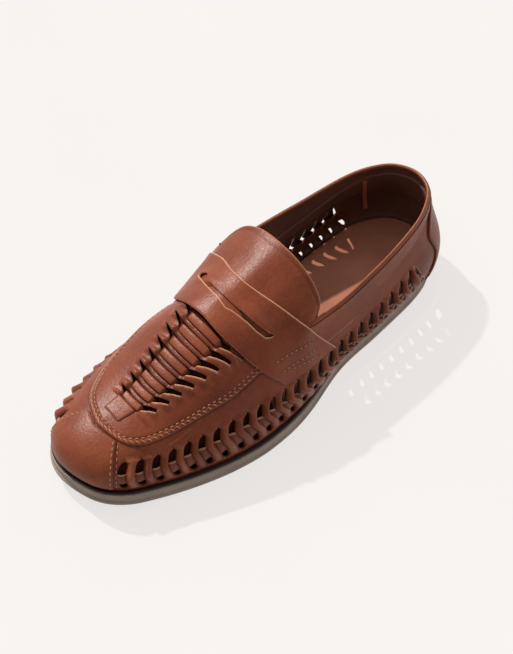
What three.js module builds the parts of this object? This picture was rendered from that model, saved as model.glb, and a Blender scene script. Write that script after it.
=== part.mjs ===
// Woven leather penny loafer for the left foot, standing empty on its sole.
// Millimetres, +Z up. The heel is at low X, the toe at high X and the outer side of the foot at +Y.
import * as THREE from "three";

// Driving sizes
const WALL = 1.8; // leather and lining of the upper
const OVERLAY = 1.3; // toe cap, saddle strap and heel counter
const GAP = 0.3; // clearance between two pieces that meet
const CURVED_GAP = 0.45; // the same over a curved wall, where flat facets cut the corner
const TONGUE = 2.2;
const WELT = 2.6;
const INSOLE = 3;
const SOLE_LENGTH = 300; // along the last, before the sole edge is added
// How far the sole stands out past the wall's foot. At the heel the wall overhangs it on the outer side.
const SOLE_EDGE = { heelOuter: -1.5, heelInner: 1.2, forefoot: 3.5, from: 95, over: 85, turn: 15 };
const WELT_LIP = 0.5; // how far the welt stands out past the sole
const TOE_SPRING = { from: 215, height: 9 };
const ARCH = { from: 88, to: 160, height: 1.8 };
const SOLE_HEIGHT = { heel: 13, forefoot: 10, from: 60, to: 160 };
const BINDING = { radius: 1.7, sides: 6, endAlong: 5.85, steps: 44 };
const HEEL_CENTRE_X = 45; // the heel's ribs fan out around this point

// The ribs of the last, from the back of the heel to the tip of the toe. A rib leaves the sole at footX
// and outerY or innerY and ends at topX, topY and topZ, half to each side. rise and its side's lean are its
// handle at the sole, reach and drop its handle at the top. seam is the apron's edge as a share of the rib,
// weave the middle of the apron's gaps, and lift raises the band's upper slits.
const RIB_COLUMNS = [
  "footX", "outerY", "innerY", "topX", "topY", "half", "topZ",
  "rise", "outerLean", "innerLean", "reach", "drop", "seam", "weave", "lift",
];
const RIB_ROWS = [
  [7, -3, -3, 9, -3, 0, 61.5, 20, 6, 6, 0, 20, 0.62, 0.82, 0], // back of the heel
  [12, 15.5, -20, 13.5, -3, 13.5, 61.5, 20, 7, 6, 0, 20, 0.62, 0.82, 0],
  [25, 27.5, -30, 25, -2.5, 23, 61.5, 19, 8.5, 6, 0, 20, 0.62, 0.82, 0],
  [45, 34.5, -34.5, 45, -1.5, 30.5, 61, 18, 8.5, 5, 0, 18, 0.62, 0.82, 0], // side of the heel
  [82, 39.3, -33.5, 84, 0, 36.5, 59.5, 17, 8, 3, 0, 16, 0.63, 0.82, 0],
  [120, 43, -31.5, 122, 0, 40, 58, 17, 7, 2, 0, 15, 0.66, 0.82, 0], // waist
  [152, 49.5, -34.5, 149, 0.5, 40, 60, 18, 5, 2, 2, 12, 0.62, 0.81, 0.5], // front of the collar
  [172, 52.5, -39.5, 165, 1.5, 21, 76, 20, 3, 2, 14, 6, 0.5, 0.79, 1.5],
  [192, 53.5, -43.5, 171, 2, 0, 81.5, 22, 2, 2, 30, 3.5, 0.46, 0.77, 2.5], // throat
  [214, 51, -45.5, 192, 3, 0, 77, 22, 2.5, 2.5, 31, 5, 0.46, 0.77, 3], // ball
  [238, 45, -44.5, 216, 3.5, 0, 64.5, 21, 3, 3, 31, 6, 0.5, 0.79, 1.5],
  [262, 37, -39, 239, 3.5, 0, 54, 20, 3.5, 3.5, 28, 5.5, 0.55, 0.82, -1],
  [280, 29, -30.5, 254, 3, 0, 48.5, 18, 4, 4, 25, 5, 0.66, 0.88, -1.5],
  [291, 17, -18.5, 263, 1.5, 0, 46, 17, 4, 4, 22, 5.5, 0.83, 0.93, -1.5],
  [295, -3, -3, 267, 0.5, 0, 45, 16, 4, 4, 20, 6, 0.88, 0.955, -1.5], // tip of the toe
];
const LAST_RIB = RIB_ROWS.length - 1;
const THROAT_RIB = 8;

// The woven band along each side, measured up the rib from the sole
const BAND = {
  from: 3.05, to: 12.3, units: 25, lowFoot: 2.5, lowTop: 9, highFoot: 15.5, highTop: 22.5, raise: 1.3,
};
// Where the two slits of a unit lie, as shares of its length, at their foot and their top
const LOW_SLIT = { footStart: 0.38, footEnd: 0.64, topStart: 0.58, topEnd: 0.84 };
const HIGH_SLIT = { footStart: 0.24, footEnd: 0.52, topStart: 0.08, topEnd: 0.34 };
const PLAIN_LEVEL = 0.45; // the plain row between band and seam, as a share of the way

// The apron and its own weave, a row of gaps down each side of the raised tapes
const APRON = { raise: 0.8, stepWidth: 0.03, strapClearance: 0.08, fade: 0.2 };
const WEAVE = {
  from: 9.08, to: 11.38, units: 8, gapStart: 0.2, gapEnd: 0.62, halfWidth: 0.03, raise: 1.3, fade: 0.2,
};

// Places along the ribs where the wall has its corners. Above the band they are closer together where the
// collar turns into the throat.
const HEEL_CELLS = 6;
const TOE_CELLS = 5;
const COLLAR_PLACES = [
  0, 0.5, 1, 1.5, 2, 2.6, 3.3, 4, 4.7, 5.3, 5.6, 5.9, 6.15, 6.4, 6.65, 6.9, 7.2, 7.5, 7.75, 8, 8.4, 8.8,
];
const TOE_PLACES = [WEAVE.to, 11.9, 12.4, 12.9, 13.45, LAST_RIB];

// The saddle strap, in even rows from the ridge down to one foot. A row gives a place on the strap's front
// edge and one on its back edge, each as a rib and a share of that rib.
const STRAP_COLUMNS = ["frontRib", "frontShare", "backRib", "backShare"];
const STRAP_ROWS = [
  [9.2, 1, 8, 1],
  [9, 0.84, 7.6, 1],
  [8.65, 0.66, 7.05, 1],
  [8.1, 0.51, 6.4, 1],
  [7.6, 0.43, 5.7, 0.8],
  [7.15, 0.36, 5.28, 0.48],
];
const STRAP_OVERHANG = { outer: 4, inner: 7, from: 0.5, to: 0.72 }; // past the throat
const STRAP_STEPS = [0, 0.14, 0.28, 0.42, 0.55, 0.7, 0.85, 1]; // from back to front
const STRAP_CELLS = 30; // across the foot
const STRAP_GAP = 0.85; // over the hollow in front of the collar, where the facets bend most
const SLOT = { row: 3, outer: 0.6, inner: 0.47 }; // the strap's cut-out

// The tongue, from under the vamp to its free edge
const TONGUE_EDGE = { across: 0.62, x: 133, z: 92, half: 36.5, bow: 2.2, cornerPower: 5 };
const TONGUE_OUTER = { fall: 26, corner: 2.5 };
const TONGUE_INNER = { fall: 16, corner: -2 };
const TONGUE_CELLS = 16;
const TONGUE_CLEARANCE = 0.85; // under the vamp's curved wall
const TONGUE_TUCK = 0.3; // share of the strap's width that the root reaches under the vamp
const TONGUE_ROWS = 5; // from the throat to the free edge

// The toe cap and the heel counter, cut from the upper's own skin
const CAP = { from: 12.36, cells: 5, rows: 6, foot: 0.05, seamClearance: 0.012 };
const COUNTER_RIBS = [2.7, 2.2, 2.4, 1.7]; // its front edge, in even rows from the sole to the collar
const COUNTER = { cells: 9, rows: 8, foot: 0.03, top: 0.95 };

// The side of the sole: height as a share, inset in millimetres
const SOLE_SIDE = [
  { height: 0, inset: 1.8 },
  { height: 0.1, inset: 0 },
  { height: 0.28, inset: 0 },
  { height: 0.34, inset: 0.9 },
  { height: 0.92, inset: 0.6 },
  { height: 1, inset: 1.1 },
];
const SOLE_STATIONS = 34; // along each side
const INSOLE_CLEARANCE = 1.1; // inside the upper's wall

// Small helpers
const mix = (from, to, share) => from + (to - from) * share;
const clamp = (value, low, high) => Math.min(Math.max(value, low), high);
const smooth = (value) => {
  const share = clamp(value, 0, 1);
  return share * share * (3 - 2 * share);
};
const range = (count) => Array.from({ length: count }, (unused, index) => index);

// The last
// A value between even rows, by cubic pieces that never overshoot. The list has one more row at each end.
function between(values, place) {
  const row = clamp(Math.floor(place), 0, values.length - 4);
  const share = place - row;
  const slope = (index) => {
    const before = values[index + 1] - values[index];
    const after = values[index + 2] - values[index + 1];
    if (before * after <= 0) return 0;
    const limit = 3 * Math.min(Math.abs(before), Math.abs(after));
    return Math.sign(before) * Math.min(Math.abs(before + after) / 2, limit);
  };
  const square = share * share;
  const cube = square * share;
  return (2 * cube - 3 * square + 1) * values[row + 1] + (cube - 2 * square + share) * slope(row)
    + (3 * square - 2 * cube) * values[row + 2] + (cube - square) * slope(row + 1);
}
// A list that runs on straight past both ends
function runOn(values) {
  const last = values.length - 1;
  return [2 * values[0] - values[1], ...values, 2 * values[last] - values[last - 1]];
}

const MIRRORED = { outerY: "innerY", innerY: "outerY", outerLean: "innerLean", innerLean: "outerLean" };

// A column of the ribs with one more row at each end, so that it turns smoothly around heel and toe. The
// columns of the top break at the throat, where the collar's edge crosses the ridge.
function ribLists(name) {
  const column = RIB_COLUMNS.indexOf(name);
  const other = RIB_COLUMNS.indexOf(MIRRORED[name] ?? name);
  const values = RIB_ROWS.map((row) => row[column]);
  const first = name === "half" ? -values[1] : RIB_ROWS[1][other];
  const last = RIB_ROWS[LAST_RIB - 1][other];
  if (!["topX", "topY", "half", "topZ"].includes(name)) return { whole: [first, ...values, last] };
  const beforeThroat = values[THROAT_RIB - 1];
  const pastThroat = name === "half" ? -beforeThroat : beforeThroat;
  const ridge = runOn(values.slice(THROAT_RIB));
  ridge[ridge.length - 1] = last;
  return { collar: [first, ...values.slice(0, THROAT_RIB + 1), pastThroat], ridge };
}
const RIBS = Object.fromEntries(RIB_COLUMNS.map((name) => [name, ribLists(name)]));

function rib(name, along) {
  const { whole, collar, ridge } = RIBS[name];
  if (whole) return between(whole, along);
  return along < THROAT_RIB ? between(collar, along) : between(ridge, along - THROAT_RIB);
}

function toeSpring(x) {
  const toe = Math.max((x - TOE_SPRING.from) / (SOLE_LENGTH - TOE_SPRING.from), 0);
  return TOE_SPRING.height * toe * toe;
}

function soleBottom(x) {
  const inArch = clamp((x - ARCH.from) / (ARCH.to - ARCH.from), 0, 1);
  return toeSpring(x) + ARCH.height * Math.sin(Math.PI * inArch) ** 2;
}

function soleTop(x) {
  const share = smooth((x - SOLE_HEIGHT.from) / (SOLE_HEIGHT.to - SOLE_HEIGHT.from));
  return toeSpring(x) + mix(SOLE_HEIGHT.heel, SOLE_HEIGHT.forefoot, share);
}

// A point of the upper's outer face: side is 1 for the outer side and -1 for the inner, share runs up the rib
function skin(side, along, share) {
  const footX = rib("footX", along);
  const foot = new THREE.Vector3(footX, rib(side > 0 ? "outerY" : "innerY", along), soleTop(footX) + GAP);
  const topX = rib("topX", along);
  const topY = rib("topY", along);
  const top = new THREE.Vector3(topX, topY + side * rib("half", along), rib("topZ", along));
  const outward = new THREE.Vector3(footX - Math.max(topX, HEEL_CENTRE_X), foot.y - topY, 0).normalize();
  const low = foot.clone().addScaledVector(outward, rib(side > 0 ? "outerLean" : "innerLean", along));
  low.z += rib("rise", along);
  const high = top.clone().addScaledVector(outward, rib("reach", along));
  high.z -= rib("drop", along);
  return new THREE.CubicBezierCurve3(foot, low, high, top).getPoint(share);
}

function oneSidedNormal(side, along, share) {
  const step = 0.02;
  const before = skin(side, clamp(along - step, 0, LAST_RIB), share);
  const after = skin(side, clamp(along + step, 0, LAST_RIB), share);
  const below = skin(side, along, Math.max(share - step, 0));
  const above = skin(side, along, Math.min(share + step, 1));
  return above.sub(below).cross(after.sub(before)).normalize().multiplyScalar(side);
}

const onSeam = (along, share) => along === 0 || along === LAST_RIB || (share === 1 && along >= THROAT_RIB);

// Both sides meet on the heel's rib, the toe's rib and the ridge, so they share one normal there
function skinNormal(side, along, share) {
  if (!onSeam(along, share)) return oneSidedNormal(side, along, share);
  return oneSidedNormal(1, along, share).add(oneSidedNormal(-1, along, share)).normalize();
}

// A corner of a sheet that lies on the skin, with its low and high faces
function corner(side, along, share, low, high) {
  const half = onSeam(along, share) ? 1 : side;
  const point = skin(half, along, share);
  const normal = skinNormal(half, along, share);
  return {
    place: along,
    low: point.clone().addScaledVector(normal, low),
    high: point.clone().addScaledVector(normal, high),
  };
}

// The share of a rib that lies a given length above the sole
function shareAt(side, along, length) {
  const pieces = 40;
  let walked = 0;
  let last = skin(side, along, 0);
  for (let piece = 1; piece <= pieces; piece += 1) {
    const next = skin(side, along, piece / pieces);
    const stretch = next.distanceTo(last);
    if (walked + stretch >= length) return (piece - 1 + (length - walked) / stretch) / pieces;
    walked += stretch;
    last = next;
  }
  return 1;
}

// Solids
// A closed solid from a sheet of faces: high faces outward, low faces inward and a rim along every free edge
function thicken(name, faces, look) {
  const positions = [];
  const ids = new Map();
  const idOf = (point) => {
    const key = point.toArray().map((value) => value.toFixed(3)).join(" ");
    if (!ids.has(key)) {
      ids.set(key, positions.length / 3);
      positions.push(...point.toArray());
    }
    return ids.get(key);
  };
  const index = [];
  const edges = new Map();
  const triangle = (a, b, c) => {
    if (a !== b && b !== c && c !== a) index.push(a, b, c);
  };
  for (const face of faces) {
    const high = face.map((each) => idOf(each.high));
    const low = face.map((each) => idOf(each.low));
    for (let turn = 1; turn < face.length - 1; turn += 1) {
      triangle(high[0], high[turn], high[turn + 1]);
      triangle(low[0], low[turn + 1], low[turn]);
    }
    face.forEach((each, turn) => {
      const next = (turn + 1) % face.length;
      if (high[turn] !== high[next]) {
        edges.set(`${high[turn]} ${high[next]}`, [high[turn], high[next], low[turn], low[next]]);
      }
    });
  }
  for (const [a, b, lowA, lowB] of edges.values()) {
    if (!edges.has(`${b} ${a}`)) {
      triangle(lowA, lowB, b);
      triangle(lowA, b, a);
    }
  }
  return solid(name, positions, index, look);
}

function solid(name, positions, index, look) {
  const geometry = new THREE.BufferGeometry();
  geometry.setAttribute("position", new THREE.Float32BufferAttribute(positions, 3));
  geometry.setIndex(index);
  geometry.computeVertexNormals();
  const mesh = new THREE.Mesh(geometry, new THREE.MeshStandardMaterial(look));
  mesh.name = name;
  return mesh;
}

// Triangles between two rows of corners that need not stand above each other
function zip(lower, upper) {
  const faces = [];
  let low = 0;
  let high = 0;
  while (low < lower.length - 1 || high < upper.length - 1) {
    const lowNext = low < lower.length - 1 ? lower[low + 1].place : Infinity;
    const highNext = high < upper.length - 1 ? upper[high + 1].place : Infinity;
    if (lowNext <= highNext) {
      faces.push([lower[low], lower[low + 1], upper[high]]);
      low += 1;
    } else {
      faces.push([lower[low], upper[high + 1], upper[high]]);
      high += 1;
    }
  }
  return faces;
}

// Quads between rows of corners of equal length
function grid(rows, keep = () => true) {
  const faces = [];
  for (let row = 0; row < rows.length - 1; row += 1) {
    for (let cell = 0; cell < rows[row].length - 1; cell += 1) {
      if (!keep(row, cell)) continue;
      faces.push([rows[row][cell], rows[row][cell + 1], rows[row + 1][cell + 1], rows[row + 1][cell]]);
    }
  }
  return faces;
}

// Faces of the inner side run the other way round, so that they face out too
const turned = (side, faces) => (side > 0 ? faces.map((face) => [...face].reverse()) : faces);

// The upper
// How far along the ribs a unit of the band begins, so that all units have one length
function bandPlaces(side) {
  const pieces = 240;
  const middle = (BAND.lowTop + BAND.highFoot) / 2;
  const places = range(pieces + 1).map((piece) => mix(BAND.from, BAND.to, piece / pieces));
  const points = places.map((along) => skin(side, along, shareAt(side, along, middle)));
  const walked = [0];
  points.slice(1).forEach((point, piece) => walked.push(walked[piece] + point.distanceTo(points[piece])));
  return (unit) => {
    if (unit === BAND.units) return BAND.to;
    const wanted = (walked[pieces] * unit) / BAND.units;
    let piece = 0;
    while (piece < pieces - 1 && walked[piece + 1] < wanted) piece += 1;
    const share = (wanted - walked[piece]) / (walked[piece + 1] - walked[piece]);
    return mix(places[piece], places[piece + 1], clamp(share, 0, 1));
  };
}

// The strap's edges, smooth over the ridge
const STRAP = Object.fromEntries(STRAP_COLUMNS.map((name, column) => {
  const values = STRAP_ROWS.map((row) => row[column]);
  const list = runOn(values);
  if (name.endsWith("Rib")) list[0] = values[1];
  return [name, list];
}));
const strapEdge = (name, across) => between(STRAP[name], Math.abs(across) * (STRAP_ROWS.length - 1));

// The rib where the strap's front edge crosses a share of the ribs
function strapFront(share) {
  const turns = 20;
  let high = 0;
  let low = 1;
  for (let turn = 0; turn < turns; turn += 1) {
    const middle = (high + low) / 2;
    if (strapEdge("frontShare", middle) > share) high = middle;
    else low = middle;
  }
  return strapEdge("frontRib", low);
}

// The apron stands up by its own step, in front of the strap only
function apronRaise(along, share, height) {
  return height * smooth((along - strapFront(share) - APRON.strapClearance) / APRON.fade);
}

function upperSide(side) {
  const place = bandPlaces(side);
  const wall = (along, share, raise = 0) => corner(side, along, share, -WALL, raise);
  const atLength = (along, length, raise = 0) => wall(along, shareAt(side, along, length), raise);
  const seam = (along) => rib("seam", along);
  const highFootAt = (along) => BAND.highFoot + rib("lift", along);
  const highTopAt = (along) => BAND.highTop + rib("lift", along);
  const plainShare = (along) => mix(shareAt(side, along, highTopAt(along)), seam(along), PLAIN_LEVEL);
  const column = (along, raise) => [
    atLength(along, 0),
    atLength(along, BAND.lowFoot),
    atLength(along, BAND.lowTop, raise),
    atLength(along, highFootAt(along), raise),
    atLength(along, highTopAt(along)),
  ];
  const faces = [];

  // heel and toe have no slits
  const heelPlaces = range(HEEL_CELLS + 1).map((cell) => mix(0, BAND.from, cell / HEEL_CELLS));
  const toePlaces = range(TOE_CELLS + 1).map((cell) => mix(BAND.to, LAST_RIB, cell / TOE_CELLS));
  for (const places of [heelPlaces, toePlaces]) {
    const columns = places.map((along) => [...column(along, 0), wall(along, plainShare(along))]);
    faces.push(...grid(columns[0].map((each, level) => columns.map((points) => points[level]))));
  }

  // the band, one unit after another
  for (let unit = 0; unit < BAND.units; unit += 1) {
    const start = column(place(unit), unit === 0 ? 0 : BAND.raise);
    const end = column(place(unit + 1), unit === BAND.units - 1 ? 0 : BAND.raise);
    const slitEnd = (shares, lengthAt, raise) => shares.map((each) => {
      const along = place(unit + each);
      return atLength(along, lengthAt(along), raise);
    });
    const half = BAND.raise / 2;
    const lowFoot = slitEnd([LOW_SLIT.footStart, LOW_SLIT.footEnd], () => BAND.lowFoot, 0);
    const lowTop = slitEnd([LOW_SLIT.topStart, LOW_SLIT.topEnd], () => BAND.lowTop, half);
    const highFoot = slitEnd([HIGH_SLIT.footStart, HIGH_SLIT.footEnd], highFootAt, half);
    const highTop = slitEnd([HIGH_SLIT.topStart, HIGH_SLIT.topEnd], highTopAt, 0);
    const plain = [unit, unit + 1].map((each) => wall(place(each), plainShare(place(each))));
    faces.push(...zip([start[0], end[0]], [start[1], ...lowFoot, end[1]]));
    faces.push([start[1], lowFoot[0], lowTop[0], start[2]]);
    faces.push([lowFoot[1], end[1], end[2], lowTop[1]]);
    faces.push(...zip([start[2], ...lowTop, end[2]], [start[3], ...highFoot, end[3]]));
    faces.push([start[3], highFoot[0], highTop[0], start[4]]);
    faces.push([highFoot[1], end[3], end[4], highTop[1]]);
    faces.push(...zip([start[4], ...highTop, end[4]], plain));
  }

  // above the band the ribs are spaced for the collar, the apron and its weave
  const bandColumns = range(BAND.units + 1).map((unit) => place(unit));
  const lowerPlaces = [...heelPlaces.slice(0, -1), ...bandColumns, ...toePlaces.slice(1)];
  const weavePlaces = range(WEAVE.units).flatMap((unit) => {
    const at = (share) => mix(WEAVE.from, WEAVE.to, (unit + share) / WEAVE.units);
    return [at(0), at(WEAVE.gapStart), at(WEAVE.gapEnd)];
  });
  const upperPlaces = [...COLLAR_PLACES, ...weavePlaces, ...TOE_PLACES];
  const inWeave = (along) => {
    const pastStart = (along - WEAVE.from) / WEAVE.fade;
    const beforeEnd = (WEAVE.to - along) / WEAVE.fade + 1;
    return smooth(pastStart) * smooth(beforeEnd);
  };
  const rows = [
    upperPlaces.map((along) => wall(along, seam(along))),
    upperPlaces.map((along) => {
      const share = seam(along) + APRON.stepWidth;
      return wall(along, share, apronRaise(along, share, APRON.raise));
    }),
    ...[-1, 1].map((end) => upperPlaces.map((along) => {
      const share = rib("weave", along) + end * WEAVE.halfWidth;
      return wall(along, share, apronRaise(along, share, APRON.raise));
    })),
    ...[0.5, 1].map((end) => upperPlaces.map((along) => {
      const height = mix(APRON.raise, WEAVE.raise, inWeave(along));
      const share = mix(rib("weave", along) + WEAVE.halfWidth, 1, end);
      return wall(along, share, apronRaise(along, share, height));
    })),
  ];
  const firstGap = COLLAR_PLACES.length;
  const isGap = (row, cell) => {
    const inside = cell - firstGap;
    return row === 2 && inside >= 0 && inside < weavePlaces.length && inside % 3 === 1;
  };
  faces.push(...zip(lowerPlaces.map((along) => wall(along, plainShare(along))), rows[0]));
  faces.push(...grid(rows, (row, cell) => !isGap(row, cell)));
  return turned(side, faces);
}

const LEATHER = { color: 0x7b3e29, roughness: 0.42, metalness: 0 };
const upper = thicken("upper", [...upperSide(1), ...upperSide(-1)], LEATHER);

// Overlays on the skin
const overlay = (side, along, share, gap = CURVED_GAP) => corner(side, along, share, gap, gap + OVERLAY);

function toeCapSide(side) {
  const places = range(CAP.cells + 1).map((cell) => mix(CAP.from, LAST_RIB, cell / CAP.cells));
  const rows = range(CAP.rows + 1).map((row) => places.map((along) => {
    const top = rib("seam", along) - CAP.seamClearance;
    return overlay(side, along, mix(CAP.foot, top, row / CAP.rows));
  }));
  return turned(side, grid(rows));
}
const toeCap = thicken("toe_cap", [...toeCapSide(1), ...toeCapSide(-1)], LEATHER);

function counterSide(side) {
  const rows = range(COUNTER.rows + 1).map((row) => {
    const share = mix(COUNTER.foot, COUNTER.top, row / COUNTER.rows);
    const edge = between(runOn(COUNTER_RIBS), (row / COUNTER.rows) * (COUNTER_RIBS.length - 1));
    return range(COUNTER.cells + 1).map((cell) => overlay(side, (edge * cell) / COUNTER.cells, share));
  });
  return turned(side, grid(rows));
}
const heelCounter = thicken("heel_counter", [...counterSide(1), ...counterSide(-1)], LEATHER);

// The place on the skin closest to a point, found from a guess in a few steps
function settle(guess, target) {
  const step = 0.01;
  const turns = 8;
  const { side } = guess;
  let { along, share } = guess;
  for (let turn = 0; turn < turns; turn += 1) {
    const here = skin(side, along, share);
    const byRib = skin(side, along + step, share).sub(here).divideScalar(step);
    const byShare = here.clone().sub(skin(side, along, share - step)).divideScalar(step);
    const miss = target.clone().sub(here);
    const skew = byRib.dot(byShare);
    const area = byRib.lengthSq() * byShare.lengthSq() - skew * skew;
    along += (miss.dot(byRib) * byShare.lengthSq() - miss.dot(byShare) * skew) / area;
    share += (miss.dot(byShare) * byRib.lengthSq() - miss.dot(byRib) * skew) / area;
    share = Math.min(share, 1);
  }
  return { side, along, share };
}

// A place on the strap: across runs from -1 on the inner side to 1 on the outer, step from back to front
function strapPlace(across, step) {
  const side = across >= 0 ? 1 : -1;
  const back = { side, along: strapEdge("backRib", across), share: strapEdge("backShare", across) };
  const front = { side, along: strapEdge("frontRib", across), share: strapEdge("frontShare", across) };
  const along = mix(back.along, front.along, step);
  const guess = { side, along, share: mix(back.share, front.share, step) };
  if (across === 0 || step === 0 || step === 1) return guess;
  const target = skin(side, back.along, back.share).lerp(skin(side, front.along, front.share), step);
  return settle(guess, target);
}

function strapCorner(across, step) {
  const { side, along, share } = strapPlace(across, step);
  const here = overlay(side, along, share, STRAP_GAP);
  const ahead = strapPlace(across, STRAP_STEPS[1]);
  const back = strapPlace(across, 0);
  const backPoint = skin(side, back.along, back.share);
  const pull = backPoint.sub(skin(side, ahead.along, ahead.share)).normalize();
  const { from, to } = STRAP_OVERHANG;
  const fade = 1 - smooth((Math.abs(across) - from) / (to - from));
  const reach = mix(STRAP_OVERHANG.outer, STRAP_OVERHANG.inner, smooth((1 - across) / 2));
  const past = step === 0 ? reach * fade : 0;
  here.low.addScaledVector(pull, past);
  here.high.addScaledVector(pull, past);
  return here;
}

function strapFaces() {
  const crossings = range(STRAP_CELLS + 1).map((cell) => 1 - (2 * cell) / STRAP_CELLS);
  const rows = STRAP_STEPS.map((step) => crossings.map((across) => strapCorner(across, step)));
  return grid(rows, (row, cell) => {
    const middle = (crossings[cell] + crossings[cell + 1]) / 2;
    return row !== SLOT.row || middle > SLOT.outer || middle < -SLOT.inner;
  });
}
const saddleStrap = thicken("saddle_strap", strapFaces(), LEATHER);

// The tongue
function tonguePoint(across, row) {
  const under = -(WALL + TONGUE_CLEARANCE);
  const onVamp = (step) => {
    const { side, along, share } = strapPlace(across, step);
    return corner(side, along, share, under, under).low;
  };
  const throat = onVamp(0);
  const root = onVamp(TONGUE_TUCK);
  if (row === 0) return root;
  const out = Math.abs(across) / TONGUE_EDGE.across;
  const { fall, corner: forward } = across > 0 ? TONGUE_OUTER : TONGUE_INNER;
  const edge = new THREE.Vector3(
    TONGUE_EDGE.x + forward * out ** TONGUE_EDGE.cornerPower,
    rib("topY", THROAT_RIB) + Math.sign(across) * TONGUE_EDGE.half * out,
    TONGUE_EDGE.z - fall * out ** TONGUE_EDGE.bow,
  );
  const length = edge.distanceTo(throat) / 3;
  const leave = throat.clone().addScaledVector(throat.clone().sub(root).normalize(), length);
  const arrive = edge.clone().lerp(throat, 1 / 3);
  return new THREE.CubicBezierCurve3(throat, leave, arrive, edge).getPoint((row - 1) / TONGUE_ROWS);
}

function tongueFaces() {
  const half = TONGUE_EDGE.across;
  const crossings = range(TONGUE_CELLS + 1).map((cell) => mix(half, -half, cell / TONGUE_CELLS));
  const points = range(TONGUE_ROWS + 2).map((row) => crossings.map((across) => tonguePoint(across, row)));
  const rows = points.map((line, row) => line.map((point, cell) => {
    const before = points[Math.max(row - 1, 0)][cell];
    const after = points[Math.min(row + 1, points.length - 1)][cell];
    const left = line[Math.max(cell - 1, 0)];
    const right = line[Math.min(cell + 1, line.length - 1)];
    const normal = right.clone().sub(left).cross(before.clone().sub(after)).normalize();
    return { high: point.clone(), low: point.clone().addScaledVector(normal, -TONGUE * Math.sign(normal.z)) };
  }));
  return grid([...rows].reverse());
}
const tongue = thicken("tongue", tongueFaces(), LEATHER);

// The collar's rolled binding stands on the edge of the upper's wall
function bindingMesh() {
  const positions = [];
  const index = [];
  const { radius, sides, endAlong, steps } = BINDING;
  for (let step = 0; step <= steps; step += 1) {
    const run = mix(-endAlong, endAlong, step / steps);
    const side = run < 0 ? -1 : 1;
    const along = Math.abs(run);
    const edge = skin(side, along, 1);
    const out = skinNormal(side, along, 1).setZ(0).normalize();
    const centre = edge.addScaledVector(out, -WALL / 2);
    centre.z += GAP + radius;
    for (let turn = 0; turn < sides; turn += 1) {
      const angle = (2 * Math.PI * (turn + 0.5)) / sides;
      const point = centre.clone().addScaledVector(out, radius * Math.cos(angle));
      point.z += radius * Math.sin(angle);
      positions.push(...point.toArray());
    }
  }
  const at = (step, turn) => step * sides + (turn % sides);
  for (let step = 0; step < steps; step += 1) {
    for (let turn = 0; turn < sides; turn += 1) {
      index.push(at(step, turn), at(step + 1, turn + 1), at(step + 1, turn));
      index.push(at(step, turn), at(step, turn + 1), at(step + 1, turn + 1));
    }
  }
  for (let turn = 1; turn < sides - 1; turn += 1) {
    index.push(at(0, 0), at(0, turn + 1), at(0, turn));
    index.push(at(steps, 0), at(steps, turn), at(steps, turn + 1));
  }
  return solid("collar_binding", positions, index, LEATHER);
}
const collarBinding = bindingMesh();

// Sole, welt and insole
// Stations around the foot, from the heel along the outer side to the toe and back along the inner side
function station(number) {
  const inner = number > SOLE_STATIONS;
  const along = (LAST_RIB * (inner ? 2 * SOLE_STATIONS - number : number)) / SOLE_STATIONS;
  return new THREE.Vector2(rib("footX", along), rib(inner ? "innerY" : "outerY", along));
}

// The outline of the upper's foot moved outward by a length that may change along the shoe
function outline(outset) {
  const count = 2 * SOLE_STATIONS;
  return range(count).map((number) => {
    const here = station(number);
    const ahead = station((number + 1) % count);
    const behind = station((number + count - 1) % count);
    const along = ahead.sub(behind).normalize();
    return here.clone().add(new THREE.Vector2(-along.y, along.x).multiplyScalar(outset(here.x, here.y)));
  });
}

function soleEdge(x, y) {
  const toOuter = smooth((y - rib("topY", 0)) / (2 * SOLE_EDGE.turn) + 0.5);
  const heel = mix(SOLE_EDGE.heelInner, SOLE_EDGE.heelOuter, toOuter);
  return mix(heel, SOLE_EDGE.forefoot, smooth((x - SOLE_EDGE.from) / SOLE_EDGE.over));
}

// A plate from rings of points, lowest first, closed below and above by strips across the foot
function plate(name, rings, look) {
  const positions = rings.flat().flatMap((point) => point.toArray());
  const count = rings[0].length;
  const index = [];
  const at = (ring, number) => ring * count + ((number + count) % count);
  for (let ring = 0; ring < rings.length - 1; ring += 1) {
    for (let number = 0; number < count; number += 1) {
      index.push(at(ring, number), at(ring + 1, number + 1), at(ring, number + 1));
      index.push(at(ring, number), at(ring + 1, number), at(ring + 1, number + 1));
    }
  }
  const top = rings.length - 1;
  const across = (a, b, c) => index.push(at(0, a), at(0, b), at(0, c), at(top, a), at(top, c), at(top, b));
  for (let number = 0; number < count / 2; number += 1) {
    if (number > 0) across(number, number + 1, -number);
    if (number < count / 2 - 1) across(number + 1, -number - 1, -number);
  }
  return solid(name, positions, index, look);
}

const ring = (outset, height) => outline(outset).map(({ x, y }) => new THREE.Vector3(x, y, height(x)));

const outsole = plate("outsole", SOLE_SIDE.map(({ height, inset }) => ring(
  (x, y) => soleEdge(x, y) - inset,
  (x) => mix(soleBottom(x), soleTop(x) - WELT - GAP, height),
)), { color: 0x8b7b70, roughness: 0.7, metalness: 0 });

const welt = plate("welt", [-WELT, 0].map((lift) => ring(
  (x, y) => soleEdge(x, y) + WELT_LIP,
  (x) => soleTop(x) + lift,
)), { color: 0x2b1a14, roughness: 0.6, metalness: 0 });

const insole = plate("insole", [GAP, GAP + INSOLE].map((lift) => ring(
  () => -WALL - INSOLE_CLEARANCE,
  (x) => soleTop(x) + lift,
)), { color: 0x683d2d, roughness: 0.6, metalness: 0 });

// The shoe stands with the middle of its footprint on the origin
const shoe = new THREE.Group();
shoe.add(outsole, welt, insole, upper, toeCap, heelCounter, saddleStrap, tongue, collarBinding);
const centre = new THREE.Box3().setFromObject(shoe).getCenter(new THREE.Vector3());
shoe.position.set(-centre.x, -centre.y, 0);
export default shoe;
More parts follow.
